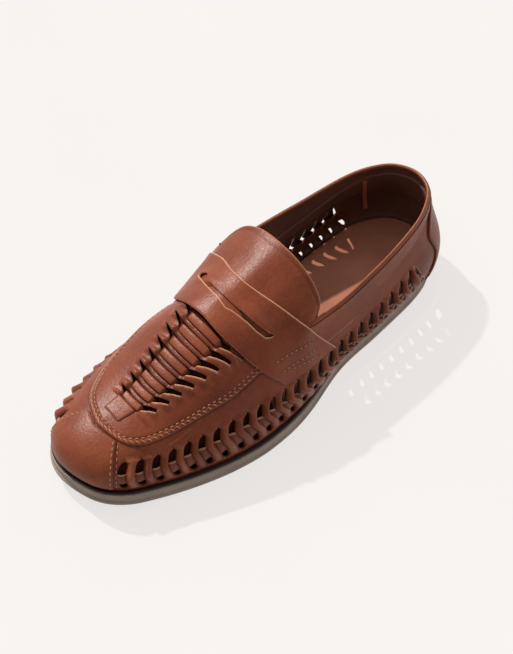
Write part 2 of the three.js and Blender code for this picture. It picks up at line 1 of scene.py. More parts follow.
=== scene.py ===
# Woven leather penny loafer for the left foot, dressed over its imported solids.
# The tables are in millimetres, in the last's own frame: heel at low X, toe at high X, outer side at +Y.
import math

import bpy
import numpy as np
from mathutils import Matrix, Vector


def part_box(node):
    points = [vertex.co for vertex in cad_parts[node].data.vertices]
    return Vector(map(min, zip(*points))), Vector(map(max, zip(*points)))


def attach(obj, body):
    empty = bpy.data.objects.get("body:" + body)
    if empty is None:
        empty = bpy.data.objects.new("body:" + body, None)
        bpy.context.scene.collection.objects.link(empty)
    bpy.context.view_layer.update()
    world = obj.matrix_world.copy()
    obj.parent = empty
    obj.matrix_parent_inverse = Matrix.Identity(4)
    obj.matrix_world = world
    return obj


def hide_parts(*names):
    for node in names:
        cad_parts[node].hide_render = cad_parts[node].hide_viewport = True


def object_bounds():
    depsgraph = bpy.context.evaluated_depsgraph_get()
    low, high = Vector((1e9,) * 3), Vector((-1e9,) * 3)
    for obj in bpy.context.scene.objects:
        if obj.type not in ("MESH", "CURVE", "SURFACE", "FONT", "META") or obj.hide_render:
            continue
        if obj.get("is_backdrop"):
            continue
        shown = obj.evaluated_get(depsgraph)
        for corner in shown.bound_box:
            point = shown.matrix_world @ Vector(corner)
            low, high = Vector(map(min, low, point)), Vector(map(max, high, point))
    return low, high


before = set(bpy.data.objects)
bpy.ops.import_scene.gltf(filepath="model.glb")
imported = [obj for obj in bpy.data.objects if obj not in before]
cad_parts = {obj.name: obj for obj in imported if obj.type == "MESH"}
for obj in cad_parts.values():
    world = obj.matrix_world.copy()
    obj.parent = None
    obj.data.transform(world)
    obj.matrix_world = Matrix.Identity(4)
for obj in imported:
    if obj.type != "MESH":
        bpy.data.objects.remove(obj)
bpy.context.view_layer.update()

# Insole: a board covered in smooth lining leather, cut to the bottom of the last and cemented in over the
# turned-in edge of the upper. Its edge is rolled, and it is dished a little under the heel.
INSOLE = {"inset": 1.1, "thickness": 3, "edgeRoll": 1.1, "heelSeat": 0.9, "seatTo": 110, "seatOver": 70}
GAP = 0.3
WALL = 1.8
SOLE_LENGTH = 300
TOE_SPRING = {"from": 215, "height": 9}
SOLE_HEIGHT = {"heel": 13, "forefoot": 10, "from": 60, "to": 160}
# The whole shoe is drawn over one last, whose ribs stand here from the back of the heel to the toe tip.
# A rib leaves the sole at footX and outerY or innerY and ends at topX, topY and topZ, half to each side.
# rise and lean are its handle at the sole, reach and drop its handle at the top, and lift raises the
# upper slits of the woven band.
RIB_COLUMNS = "footX outerY innerY topX topY half topZ rise outerLean innerLean reach drop lift".split()
RIB_ROWS = [
    [7, -3, -3, 9, -3, 0, 61.5, 20, 6, 6, 0, 20, 0],
    [12, 15.5, -20, 13.5, -3, 13.5, 61.5, 20, 7, 6, 0, 20, 0],
    [25, 27.5, -30, 25, -2.5, 23, 61.5, 19, 8.5, 6, 0, 20, 2],
    [45, 34.5, -34.5, 45, -1.5, 30.5, 61, 18, 8.5, 5, 0, 18, 4],
    [82, 39.3, -33.5, 84, 0, 36.5, 59.5, 17, 8, 3, 0, 16, 0.5],
    [120, 43, -31.5, 122, 0, 40, 58, 17, 7, 2, 0, 15, 0],
    [152, 49.5, -34.5, 149, 0.5, 40, 60, 18, 5, 2, 2, 12, 1.5],
    [172, 52.5, -39.5, 165, 1.5, 21, 76, 20, 3, 2, 14, 6, 2],
    [192, 53.5, -43.5, 171, 2, 0, 81.5, 22, 2, 2, 30, 3.5, 3],
    [214, 51, -45.5, 192, 3, 0, 77, 22, 2.5, 2.5, 31, 5, 3.5],
    [238, 45, -44.5, 216, 3.5, 0, 64.5, 21, 3, 3, 31, 6, 2],
    [262, 37, -39, 239, 3.5, 0, 54, 20, 3.5, 3.5, 28, 5.5, -1],
    [280, 29, -30.5, 254, 3, 0, 48.5, 18, 4, 4, 25, 5, -1.5],
    [291, 17, -18.5, 263, 1.5, 0, 46, 17, 4, 4, 22, 5.5, -1.5],
    [295, -3, -3, 267, 0.5, 0, 45, 16, 4, 4, 20, 6, -1.5],
]
LAST_RIB = len(RIB_ROWS) - 1
THROAT_RIB = 8
MIRRORED = {"outerY": "innerY", "innerY": "outerY", "outerLean": "innerLean", "innerLean": "outerLean"}


def mix(start, end, share):
    return start + (end - start) * share


def smooth(value):
    share = np.clip(value, 0, 1)
    return share * share * (3 - 2 * share)


def unit(vectors):
    return vectors / np.maximum(np.linalg.norm(vectors, axis=-1, keepdims=True), 1e-9)


# A cubic piece from start to end with its slopes at both
def cubic(start, slope_in, slope_out, end, share):
    square = share * share
    cube = square * share
    value = (2 * cube - 3 * square + 1) * start + (cube - 2 * square + share) * slope_in
    return value + (3 * square - 2 * cube) * end + (cube - square) * slope_out


# A value between even rows, by cubic pieces that never overshoot. The list has one more row at each end.
def between(values, place):
    values = np.asarray(values, float)
    place = np.asarray(place, float)
    row = np.clip(np.floor(place).astype(int), 0, len(values) - 4)
    steps = np.diff(values)
    before = steps[:-1]
    after = steps[1:]
    limit = 3 * np.minimum(abs(before), abs(after))
    slope = np.sign(before) * np.minimum(abs(before + after) / 2, limit)
    slope = np.where(before * after <= 0, 0, slope)
    return cubic(values[row + 1], slope[row], slope[row + 1], values[row + 2], place - row)


def run_on(values):
    return [2 * values[0] - values[1], *values, 2 * values[-1] - values[-2]]


# A column of the ribs that turns smoothly around heel and toe. The top's columns break at the throat.
def rib_lists(name):
    column = RIB_COLUMNS.index(name)
    other = RIB_COLUMNS.index(MIRRORED.get(name, name))
    values = [row[column] for row in RIB_ROWS]
    first = -values[1] if name == "half" else RIB_ROWS[1][other]
    last = RIB_ROWS[-2][other]
    if name not in ("topX", "topY", "half", "topZ"):
        return {"whole": [first, *values, last]}
    before_throat = values[THROAT_RIB - 1]
    past_throat = -before_throat if name == "half" else before_throat
    ridge = run_on(values[THROAT_RIB:])
    ridge[-1] = last
    return {"collar": [first, *values[:THROAT_RIB + 1], past_throat], "ridge": ridge}


RIBS = {name: rib_lists(name) for name in RIB_COLUMNS}


def rib(name, along):
    lists = RIBS[name]
    along = np.asarray(along, float)
    if "whole" in lists:
        return between(lists["whole"], along)
    collar = between(lists["collar"], np.minimum(along, THROAT_RIB))
    ridge = between(lists["ridge"], np.maximum(along - THROAT_RIB, 0))
    return np.where(along < THROAT_RIB, collar, ridge)


def toe_spring(x):
    toe = np.maximum((x - TOE_SPRING["from"]) / (SOLE_LENGTH - TOE_SPRING["from"]), 0)
    return TOE_SPRING["height"] * toe ** 2


def sole_top(x):
    share = smooth((x - SOLE_HEIGHT["from"]) / (SOLE_HEIGHT["to"] - SOLE_HEIGHT["from"]))
    return toe_spring(x) + mix(SOLE_HEIGHT["heel"], SOLE_HEIGHT["forefoot"], share)


# Rows of points around the foot of the last, outer side and inner side, moved outward by a length
def outline(outset, count):
    places = np.linspace(0, LAST_RIB, count + 1)
    x = rib("footX", places)
    outer = np.stack([x, rib("outerY", places)], -1)
    inner = np.stack([x, rib("innerY", places)], -1)
    loop = np.concatenate([outer, inner[-2:0:-1]])
    run = unit(np.roll(loop, -1, 0) - np.roll(loop, 1, 0))
    lengths = outset(loop[:, 0], loop[:, 1]) if callable(outset) else outset
    loop = loop + np.stack([-run[:, 1], run[:, 0]], -1) * np.reshape(lengths, (-1, 1))
    return loop[:count + 1], np.concatenate([loop[:1], loop[:count:-1], loop[count:count + 1]])


# A closed solid from sheets of corners: high faces outward, low faces inward, and a rounded rim along every
# free edge. A sheet is rows of high points, the low points under them, the cells that are kept and how dark
# each corner is painted with shade, or below zero how raw it is cut, which comes back as a fourth column.
def thicken(sheets, bulge):
    highs = []
    lows = []
    shades = []
    cells = []
    count = 0
    for high, low, keep, shade in sheets:
        rows, columns = high.shape[:2]
        shades.append(np.reshape(np.zeros((rows, columns)) if shade is None else shade, -1))
        number = count + np.arange(rows * columns).reshape(rows, columns)
        quads = np.stack([number[:-1, :-1], number[:-1, 1:], number[1:, 1:], number[1:, :-1]], -1)
        cells.append(quads.reshape(-1, 4) if keep is None else quads[keep])
        highs.append(high.reshape(-1, 3))
        lows.append(low.reshape(-1, 3))
        count += rows * columns
    high = np.concatenate(highs)
    cells = np.concatenate(cells)
    # corners that sheets share are welded, and cells that fall to a line are dropped
    first, inverse = np.unique(np.round(high, 3), axis=0, return_index=True, return_inverse=True)[1:]
    high = high[first]
    low = np.concatenate(lows)[first]
    shade = np.concatenate(shades)[first]
    cells = inverse.reshape(-1)[cells]
    cells = cells[(cells == np.roll(cells, -1, 1)).sum(1) < 2]
    total = len(high)
    edges = np.concatenate([cells[:, [turn, (turn + 1) % 4]] for turn in range(4)])
    edges = edges[edges[:, 0] != edges[:, 1]]
    free = ~np.isin(edges[:, 0] * total + edges[:, 1], edges[:, 1] * total + edges[:, 0])
    rim = edges[free]
    run = high[rim[:, 1]] - high[rim[:, 0]]
    rise = unit(high - low)
    out = np.zeros_like(high)
    for end in (0, 1):
        np.add.at(out, rim[:, end], np.cross(run, rise[rim[:, end]]))
    middle = (high + low) / 2 + unit(out) * bulge
    vertices = np.column_stack([np.concatenate([high, low, middle]), np.tile(shade, 3)])
    below = total + rim
    waist = 2 * total + rim
    faces = [cells, cells[:, ::-1] + total]
    faces.append(np.stack([rim[:, 1], rim[:, 0], waist[:, 0], waist[:, 1]], -1))
    faces.append(np.stack([waist[:, 1], waist[:, 0], below[:, 0], below[:, 1]], -1))
    kinds = np.concatenate([np.full(len(part), kind) for part, kind in zip(faces, (0, 2, 1, 3))])
    return vertices, np.concatenate(faces), kinds


# The footprint's middle is the frame's origin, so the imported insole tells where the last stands
insole_outset = -WALL - INSOLE["inset"]
insole_loop = np.concatenate(outline(insole_outset, 34))
insole_low, insole_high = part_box("insole")
footprint_middle = (np.array(insole_low) + np.array(insole_high))[:2] * 500
LAST_PLACE = np.append(footprint_middle - (insole_loop.min(0) + insole_loop.max(0)) / 2, 0)


# A mesh object in the frame from millimetre points, smooth but for its true edges. Faces of kind 0 are the
# outside, 1 the cut edge, 2 the inside and 3 the cut edge's inner half, and each kind takes its own material.
def make_piece(name, parts, finishes, replaced=(), edge_angle=40):
    vertices, faces = parts[:2]
    kinds = parts[2] if len(parts) > 2 else np.zeros(len(faces))
    mesh = bpy.data.meshes.new(name)
    used = np.unique(faces)
    renumber = np.zeros(len(vertices), int)
    renumber[used] = np.arange(len(used))
    corners = []
    for face in renumber[faces].tolist():
        corners.append([corner for turn, corner in enumerate(face) if corner != face[turn - 1]])
    mesh.from_pydata(((vertices[used, :3] + LAST_PLACE) / 1000).tolist(), [], corners)
    # the fourth column is kept as an attribute: painted shade above zero, a raw cut edge below zero
    if vertices.shape[1] > 3:
        painted_shade_and_raw_edge = mesh.attributes.new("painted_shade_and_raw_edge", "FLOAT", "POINT")
        painted_shade_and_raw_edge.data.foreach_set("value", np.clip(vertices[used, 3], -1, 1))
    mesh.polygons.foreach_set("material_index", np.minimum(kinds, len(finishes) - 1).astype(np.int32))
    mesh.shade_smooth()
    mesh.set_sharp_from_angle(angle=math.radians(edge_angle))
    mesh.validate()
    for finish in finishes:
        mesh.materials.append(finish)
    piece = bpy.data.objects.new(name, mesh)
    bpy.context.scene.collection.objects.link(piece)
    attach(piece, "root")
    if replaced:
        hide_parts(*replaced)
    return piece


# Colours are written as sRGB hex and turned to the linear values that the shaders take
def linear(hex_code):
    parts = [int(hex_code[start:start + 2], 16) / 255 for start in (1, 3, 5)]
    return [part / 12.92 if part <= 0.04045 else ((part + 0.055) / 1.055) ** 2.4 for part in parts] + [1]


# One node with its settings and links: a setting is a property, an input's value or a socket to link
def add_node(tree, kind, inputs=None, **properties):
    node = tree.nodes.new(kind)
    for name, value in properties.items():
        setattr(node, name, value)
    for name, value in (inputs or {}).items():
        if isinstance(value, bpy.types.NodeSocket):
            tree.links.new(value, node.inputs[name])
        else:
            node.inputs[name].default_value = value
    return node


# A pattern's scale from its size on the real piece
def scale_of(millimetres):
    return 1000 / millimetres


# A material whose colour runs between hex stops in clouds of a size in millimetres. Its tree, the place on
# the piece, the clouds and their colour come back for the nodes that follow.
def clouded_material(name, size, detail, blend, stops):
    material = bpy.data.materials.new(name)
    material.use_nodes = True
    tree = material.node_tree
    tree.nodes.clear()
    place = add_node(tree, "ShaderNodeTexCoord").outputs["Object"]
    clouds = add_node(tree, "ShaderNodeTexNoise", {
        "Vector": place, "Scale": scale_of(size), "Detail": detail, "Roughness": blend}).outputs["Fac"]
    tone = add_node(tree, "ShaderNodeValToRGB", {"Fac": clouds})
    elements = tone.color_ramp.elements
    while len(elements) < len(stops):
        elements.new(0.5)
    for element, (stop, colour) in zip(elements, stops):
        element.position = stop
        element.color = linear(colour)
    return material, tree, place, clouds, tone.outputs["Color"]


# Pores of a rolled hide, about 0.3 mm apart and drawn at 0.9 mm so that they show
def rolled_pores(tree, place):
    pores = add_node(tree, "ShaderNodeTexNoise", {
        "Vector": place, "Scale": scale_of(0.909), "Detail": 2, "Roughness": 0.6})
    bump = add_node(tree, "ShaderNodeBump", {
        "Height": pores.outputs["Fac"], "Strength": 0.12, "Distance": 0.0003})
    return bump.outputs["Normal"]


# Insole leather: rolled lining hide left in a light natural brown with a soft sheen, darkened with painted
# shade along its edge where it runs behind the outer slits
insole_leather, tree, place, _, tone = clouded_material(
    "natural_insole_leather", 33.3, 3, 0.5, [(0.3, "#8B5440"), (0.7, "#A2664D")])
# painted shade: the attribute darkens the tone towards near black
painted_shade_and_edge_input = add_node(tree, "ShaderNodeAttribute", attribute_name="painted_shade_and_raw_edge")
edged = add_node(tree, "ShaderNodeMix", {
    "Factor": painted_shade_and_edge_input.outputs["Fac"], "A": tone, "B": linear("#120805")}, data_type="RGBA")
shader = add_node(tree, "ShaderNodeBsdfPrincipled", {
    "Base Color": edged.outputs["Result"], "Normal": rolled_pores(tree, place), "Roughness": 0.55,
    "IOR": 1.45, "Specular IOR Level": 0.25})
add_node(tree, "ShaderNodeOutputMaterial", {"Surface": shader.outputs["BSDF"]})

across = np.array([-1, -0.985, -0.95, -0.88, *np.linspace(-0.75, 0.75, 17), 0.88, 0.95, 0.985, 1])
insole_outer, insole_inner = outline(insole_outset, 120)
flat = mix(insole_outer[:, None], insole_inner[:, None], (across[None, :, None] + 1) / 2)
edge_roll = INSOLE["edgeRoll"] * np.clip((abs(across) - 0.86) / 0.14, 0, 1) ** 3
heel_seat = INSOLE["heelSeat"] * smooth((INSOLE["seatTo"] - flat[..., 0]) / INSOLE["seatOver"])
under = sole_top(flat[..., 0]) + GAP
top = np.dstack([flat, under + INSOLE["thickness"] - edge_roll - heel_seat * (1 - across ** 2)])
bottom = np.dstack([flat, under])
# painted shade on the insole's outer edge, which the outer slits look onto
shade = smooth((-across - 0.72) / 0.1)[None] * np.ones((len(flat), 1))
insole = thicken([(top[:, ::-1], bottom[:, ::-1], None, shade[:, ::-1])], 0.1)
make_piece("insole", insole, [insole_leather], ["insole"])

# Upper wall: full-grain calf with its lining, pulled over the last and cemented under the insole. A band
# low on each side is slit into bars, which stand out over the thong laced behind them.
SIDES = (1, -1)
HEEL_CENTRE_X = 45


# A cubic curve from start to end, drawn towards two handles
def handle_curve(start, first, second, end, share):
    rest = 1 - share
    value = rest ** 3 * start + 3 * rest * rest * share * first
    return value + 3 * rest * share * share * second + share ** 3 * end


# A point of the upper's outer face: side is 1 for the outer side and -1 for the inner, share runs up the rib
def skin(side, along, share):
    side, along, share = np.broadcast_arrays(*[np.asarray(each, float) for each in (side, along, share)])
    foot_x = rib("footX", along)
    foot_y = np.where(side > 0, rib("outerY", along), rib("innerY", along))
    foot = np.stack([foot_x, foot_y, sole_top(foot_x) + GAP], -1)
    top_x = rib("topX", along)
    top_y = rib("topY", along)
    top = np.stack([top_x, top_y + side * rib("half", along), rib("topZ", along)], -1)
    out_x = foot_x - np.maximum(top_x, HEEL_CENTRE_X)
    out = unit(np.stack([out_x, foot_y - top_y, np.zeros_like(foot_x)], -1))
    lean = np.where(side > 0, rib("outerLean", along), rib("innerLean", along))
    low = foot + out * lean[..., None]
    low[..., 2] += rib("rise", along)
    high = top + out * rib("reach", along)[..., None]
    high[..., 2] -= rib("drop", along)
    return handle_curve(foot, low, high, top, share[..., None])


def one_sided_normal(side, along, share):
    step = 0.02
    before = skin(side, np.clip(along - step, 0, LAST_RIB), share)
    after = skin(side, np.clip(along + step, 0, LAST_RIB), share)
    below = skin(side, along, np.clip(share - step, 0, 1))
    above = skin(side, along, np.clip(share + step, 0, 1))
    return unit(np.cross(above - below, after - before) * np.asarray(side, float)[..., None])


# Both sides meet on the heel's rib, the toe's rib and the ridge, so their normals run together there
def skin_normal(side, along, share):
    side, along, share = np.broadcast_arrays(*[np.asarray(each, float) for each in (side, along, share)])
    own = one_sided_normal(side, along, share)
    other = one_sided_normal(-side, along, share)
    near_end = np.maximum(smooth(1 - along / 0.3), smooth(1 - (LAST_RIB - along) / 0.3))
    near_ridge = np.where(along >= THROAT_RIB, smooth((share - 0.94) / 0.06), 0)
    return unit(mix(own, other, np.maximum(near_end, near_ridge)[..., None] / 2))


def on_skin(side, along, share, height):
    return skin(side, along, share) + skin_normal(side, along, share) * np.asarray(height)[..., None]


# A sheet of leather on the skin, for thicken: its outer face at a height, its inner face a thickness below
def leather(side, along, share, height, thickness, shade=None, keep=None):
    high = on_skin(side, along, share, height)
    low = on_skin(side, along, share, height - thickness)
    sheet = (high, low, keep, shade)
    if side > 0:
        sheet = tuple(part if part is None else part[:, ::-1] for part in sheet)
    return sheet


# A soft hump: one in its middle, and almost nothing at twice its width away
def bell(away, width):
    return np.exp(-(away / width) ** 2)


def walked_length(points):
    return np.append(0, np.cumsum(np.linalg.norm(np.diff(points, axis=0), axis=1)))


# Lengths up the ribs, both ways between a share of the rib and millimetres from the sole
GIRTH_PLACES = np.linspace(0, LAST_RIB, 281)
GIRTH_SHARES = np.linspace(0, 1, 121)
GIRTH_STEPS = np.linspace(0, 130, 261)
GIRTHS = {}
SHARES = {}
for side in SIDES:
    ribs = skin(side, GIRTH_PLACES[:, None], GIRTH_SHARES[None])
    GIRTHS[side] = np.array([walked_length(points) for points in ribs])
    SHARES[side] = np.array([np.interp(GIRTH_STEPS, girth, GIRTH_SHARES) for girth in GIRTHS[side]])


def look_up(table, along, column, columns):
    along, column = np.broadcast_arrays(np.asarray(along, float), np.asarray(column, float))
    row = np.clip(along / LAST_RIB * (len(table) - 1), 0, len(table) - 1.001)
    place = np.clip(column / columns[-1] * (len(columns) - 1), 0, len(columns) - 1.001)
    r = row.astype(int)
    c = place.astype(int)
    low = mix(table[r, c], table[r, c + 1], place - c)
    high = mix(table[r + 1, c], table[r + 1, c + 1], place - c)
    return mix(low, high, row - r)


def share_at(side, along, girth):
    return look_up(SHARES[side], along, girth, GIRTH_STEPS)


def girth_at(side, along, share):
    return look_up(GIRTHS[side], along, share, GIRTH_SHARES)


# The woven band: its first and last rib, the girth along its middle, its slits, the pitches that the plain
# ends count for, how far a bar stands out over the thong and is crowned, how thick it is, the height and
# spread of the thong as shares of the band, and how fast a bar falls off at its edges, in pitches
BAND = {
    "from": 3.05, "to": 12.3, "middleGirth": 12.5, "slits": 25, "heelUnits": 5, "toeUnits": 4,
    "raise": 2.3, "crown": 1.1, "bar": 1.2, "thongLevel": 0.5, "thongSpread": 0.19, "edgeFall": 0.055,
}
# Slits are counted from the heel, each a chevron with its point towards the toe. A row gives a slit's number,
# where its upper part lies, how far the lower part is set back, the widths of upper part, middle and lower
# part, and how far its ends lean, all as shares of the pitch.
SLIT_COLUMNS = "number phase setBack upper middle lower lean".split()
SLIT_ROWS = [
    [0, 0.1, -0.42, 0.28, 0.28, 0.28, 0.16],
    [1, 0.12, -0.47, 0.44, 0.32, 0.3, 0.16],
    [4, 0.16, -0.62, 0.46, 0.34, 0.3, 0.16],
    [8, 0.06, -0.74, 0.46, 0.34, 0.3, 0.16],
    [13, 0.4, -0.66, 0.47, 0.38, 0.36, 0.14],
    [17, 0.44, -0.5, 0.48, 0.45, 0.4, 0.12],
    [20, 0.42, -0.25, 0.5, 0.52, 0.42, 0.11],
    [24, 0.5, 0, 0.52, 0.55, 0.42, 0.1],
]
# Heights of the band as shares of its own rows, with their girth and how much of the rib's lift they take
BAND_LEVELS = [0, 0.1, 0.35, 0.6, 0.87, 1]
BAND_GIRTHS = [0, 2.2, 9, 15, 22.5, 26]
BAND_LIFTS = [0, 0, 0.3, 1, 1, 1]
SLIT_ENDS = (0.1, 0.87)
# The slit at the heel runs straight, from its lower to its upper end. The inner side's slits open less.
HEEL_SLIT = (-0.4, 0.54)
OPEN = {1: 0.5, -1: 0.375}
# Rows and columns of corners: up the band, above it, across a bar and across the plain ends
band_levels = np.concatenate([
    np.linspace(0, 0.1, 4)[:-1],
    0.1 + 0.05 * np.linspace(0, 1, 6)[:-1] ** 2,
    np.linspace(0.15, 0.81, 25)[:-1],
    0.87 - 0.06 * np.linspace(1, 0, 7)[:-1] ** 2,
    np.linspace(0.87, 1, 5),
])
ROWS_ABOVE = 46
bar_shares = np.array([0, 0.05, 0.14, 0.3, 0.5, 0.7, 0.86, 0.95, 1])
heel_shares = np.concatenate([np.linspace(0, 0.93, 22), [0.95, 0.97, 0.985, 0.993, 1]])
toe_shares = np.concatenate([[0, 0.01, 0.02, 0.04], np.linspace(0.07, 1, 22)])


def slit(name, number):
    column = SLIT_COLUMNS.index(name)
    return np.interp(number, [row[0] for row in SLIT_ROWS], [row[column] for row in SLIT_ROWS])


# Where a slit's middle runs and how wide it is, in pitches, at each level of the band
def slit_middle(number, level):
    if number == 0:
        return np.interp(level, SLIT_ENDS, HEEL_SLIT)
    lean = slit("lean", number)
    back = slit("setBack", number)
    places = [back - lean, back - lean, back + lean, lean, -lean, 0]
    by_hand = 0.04 * np.sin(5.3 * number + 1.1)
    return number + slit("phase", number) + by_hand + np.interp(level, BAND_LEVELS, places)


def slit_width(number, level):
    low, high = SLIT_ENDS
    to_end = np.clip((level - low) / 0.09, 0, 1) * (level > low)
    to_top = np.clip((high - level) / 0.13, 0, 1) * (level < high)
    ends = np.sqrt(to_end * (2 - to_end)) * np.sqrt(to_top * (2 - to_top))
    widths = [slit(part, number) for part in ("lower", "middle", "middle", "upper")]
    return ends * np.interp(level, [0.3, 0.4, 0.54, 0.64], widths)


# How far along the ribs a pitch begins, with pitches of one length in the band
def band_places(side):
    places = np.linspace(BAND["from"], BAND["to"], 400)
    walked = walked_length(skin(side, places, share_at(side, places, BAND["middleGirth"])))
    ends = ([-BAND["heelUnits"]], [BAND["slits"] + BAND["toeUnits"]])
    pitches = np.concatenate([ends[0], walked / walked[-1] * BAND["slits"], ends[1]])
    return pitches, np.concatenate([[0], places, [LAST_RIB]])


# The quarter's collar facing: its lower edge as ribs and shares, a thin step that runs up to the heel
FACING = {"step": 0.9, "toRib": 6.5, "cutFrom": 4.6}
FACING_RIBS = [0, 1.6, 2.3, 3.3, 3.85, 4.38, 4.88, 5.42, 6.5]
FACING_SHARES = [0.9, 0.9, 0.9, 0.8, 0.7, 0.635, 0.61, 0.6, 0.6]

# Main creases where the calf was pulled over the last: rib and share at both ends, half width and depth in
# millimetres
CREASE_ROWS = [
    [9.6, 0.36, 8.6, 0.44, 8, 0.2],
    [5, 0.52, 3.4, 0.6, 4, 0.35],
    [4.4, 0.72, 2.6, 0.84, 5, 0.3],
    [6.2, 0.5, 5.5, 0.72, 4, 0.3],
    [13.2, 0.3, 12.8, 0.6, 5, 0.25],
]
RIB_SPACING = 20
MEAN_GIRTH = 70


def creases(along, share):
    depth = np.zeros_like(along)
    for rib_a, share_a, rib_b, share_b, half, deep in CREASE_ROWS:
        run = np.array([(rib_b - rib_a) * RIB_SPACING, (share_b - share_a) * MEAN_GIRTH])
        across_x = (along - rib_a) * RIB_SPACING
        across_y = (share - share_a) * MEAN_GIRTH
        t = np.clip((across_x * run[0] + across_y * run[1]) / (run @ run), 0, 1)
        away = np.hypot(across_x - t * run[0], across_y - t * run[1])
        depth -= deep * bell(away, half) * np.sin(np.pi * np.clip(t, 0.08, 0.92)) ** 0.5
    return depth


# The apron's edge as ribs and shares, from the strap round the toe, drawn out to a smooth U
SEAM_RIBS = [7, 7.9, 9.08, 9.6, 10.15, 10.65, 11.2, 11.55, 11.9, 12.3, 12.85, 13.45, 14]
SEAM_SHARES = {
    1: [0.5, 0.48, 0.46, 0.485, 0.5, 0.505, 0.525, 0.56, 0.61, 0.69, 0.785, 0.862, 0.885],
    -1: [0.5, 0.48, 0.47, 0.49, 0.51, 0.53, 0.57, 0.615, 0.67, 0.74, 0.81, 0.868, 0.885],
}
APRON_FROM = 7.6
APRON_SEAT = 1.1
seam_places = np.linspace(7, 21, 1401)
SEAM_CURVES = {}
for side in SIDES:
    round_toe = np.concatenate([SEAM_SHARES[side], SEAM_SHARES[-side][-2::-1]])
    ribs_round = np.concatenate([SEAM_RIBS, 2 * LAST_RIB - np.array(SEAM_RIBS[-2::-1])])
    plain = np.interp(seam_places, ribs_round, round_toe)
    weights = bell(np.linspace(-2.5, 2.5, 91), 1)
    padded = np.pad(plain, len(weights) // 2, mode="edge")
    SEAM_CURVES[side] = np.convolve(padded, weights / weights.sum(), mode="valid")


def seam_share(side, along):
    return np.interp(along, seam_places, SEAM_CURVES[side])


# The wall as one sheet for each bar with what stands above it, from the heel's plain end to the toe's
def upper_sheets(side):
    pitches, ribs = band_places(side)
    levels = np.concatenate([band_levels, np.full(ROWS_ABOVE, 1.0)])
    level = levels[:, None]
    climb = np.linspace(0, 1, ROWS_ABOVE + 1)[1:, None]
    above_band = np.concatenate([np.zeros((len(band_levels), 1)), climb])
    inside_band = smooth((level - 0.06) / 0.12) * smooth((0.97 - level) / 0.12)
    over_thong = bell(level - BAND["thongLevel"], BAND["thongSpread"])
    sheets = []
    for bar in range(BAND["slits"] + 1):
        first = bar == 0
        final = bar == BAND["slits"]
        shares = bar_shares
        start = np.full(len(levels), -float(BAND["heelUnits"]))
        end = np.full(len(levels), float(BAND["slits"] + BAND["toeUnits"]))
        if first:
            shares = heel_shares
        else:
            start = slit_middle(bar - 1, levels) + slit_width(bar - 1, levels) * OPEN[side]
        if final:
            shares = toe_shares
        else:
            end = slit_middle(bar, levels) - slit_width(bar, levels) * OPEN[side]
        pitch = mix(start[:, None], end[:, None], shares[None])
        along = np.interp(pitch, pitches, ribs)
        lift = np.interp(level, BAND_LEVELS, BAND_LIFTS) * rib("lift", along)
        girth = np.interp(level, BAND_LEVELS, BAND_GIRTHS) + lift
        share = share_at(side, along, girth)
        seam = seam_share(side, along)
        top = mix(1, np.minimum(seam + 0.05, 1), smooth((along - 8.35) / 0.5))
        share[-ROWS_ABOVE:] = mix(share[-ROWS_ABOVE - 1], top[-ROWS_ABOVE:], climb)
        # a bar is crowned, stands out over the thong and falls off along its cut edges
        near_start = 0.0 if first else np.exp((start[:, None] - pitch) / BAND["edgeFall"])
        near_end = 0.0 if final else np.exp((pitch - end[:, None]) / BAND["edgeFall"])
        crown = 1 - (2 * shares[None] - 1) ** 2
        uneven = 1 + 0.2 * math.sin(2.4 * bar + side)
        stand = BAND["raise"] * uneven * over_thong * mix(0.4, 1, crown)
        fall = (near_start + near_end) * (1 - 0.8 * over_thong)
        height = inside_band * (stand + BAND["crown"] * crown - fall)
        if first or final:
            height = np.zeros_like(along)
        facing_edge = np.interp(along, FACING_RIBS, FACING_SHARES)
        in_facing = along < FACING["toRib"]
        height = height + FACING["step"] * smooth((share - facing_edge) / 0.012) * in_facing
        in_apron = smooth((share - seam + 0.004) / 0.02) * smooth((along - APRON_FROM) / 0.5)
        height = height - APRON_SEAT * in_apron + creases(along, share) * smooth(above_band / 0.3)
        # painted shade darkens the bars along their edges, more towards the heel, and painted shade lines run
        # under the sewn edges
        heelward = 1 - smooth((bar - 9) / 5)
        painted_edge_shade = mix(0.5, 0.8, heelward) * near_start + mix(0.3, 0.8, heelward) * near_end
        # bars also grow a little darker towards the heel and differ a little in tone
        heelward_dark_and_uneven = 0.12 * (1 - smooth((bar - 11) / 6)) + 0.1 * math.sin(4.1 * bar + side)
        # painted shade at the foot of the wall, by the welt
        shade = inside_band * (painted_edge_shade + heelward_dark_and_uneven) + 0.3 * smooth(1 - girth / 2.5)
        painted_seam_shade = bell(share - seam, 0.012) * smooth((along - APRON_FROM) / 0.3)
        painted_facing_shade = bell(share - facing_edge + 0.003, 0.008) * in_facing
        facing_cut = bell(share - facing_edge - 0.01, 0.009) * smooth((along - FACING["cutFrom"]) / 0.25)
        shade = shade + 0.6 * painted_seam_shade + 0.85 * painted_facing_shade - 0.8 * facing_cut * in_facing
        if first:
            shade = shade - 1.4 * inside_band * smooth((shares[None] - 0.985) / 0.015)
        sheets.append(leather(side, along, share, height, mix(WALL, BAND["bar"], inside_band), shade))
    return sheets


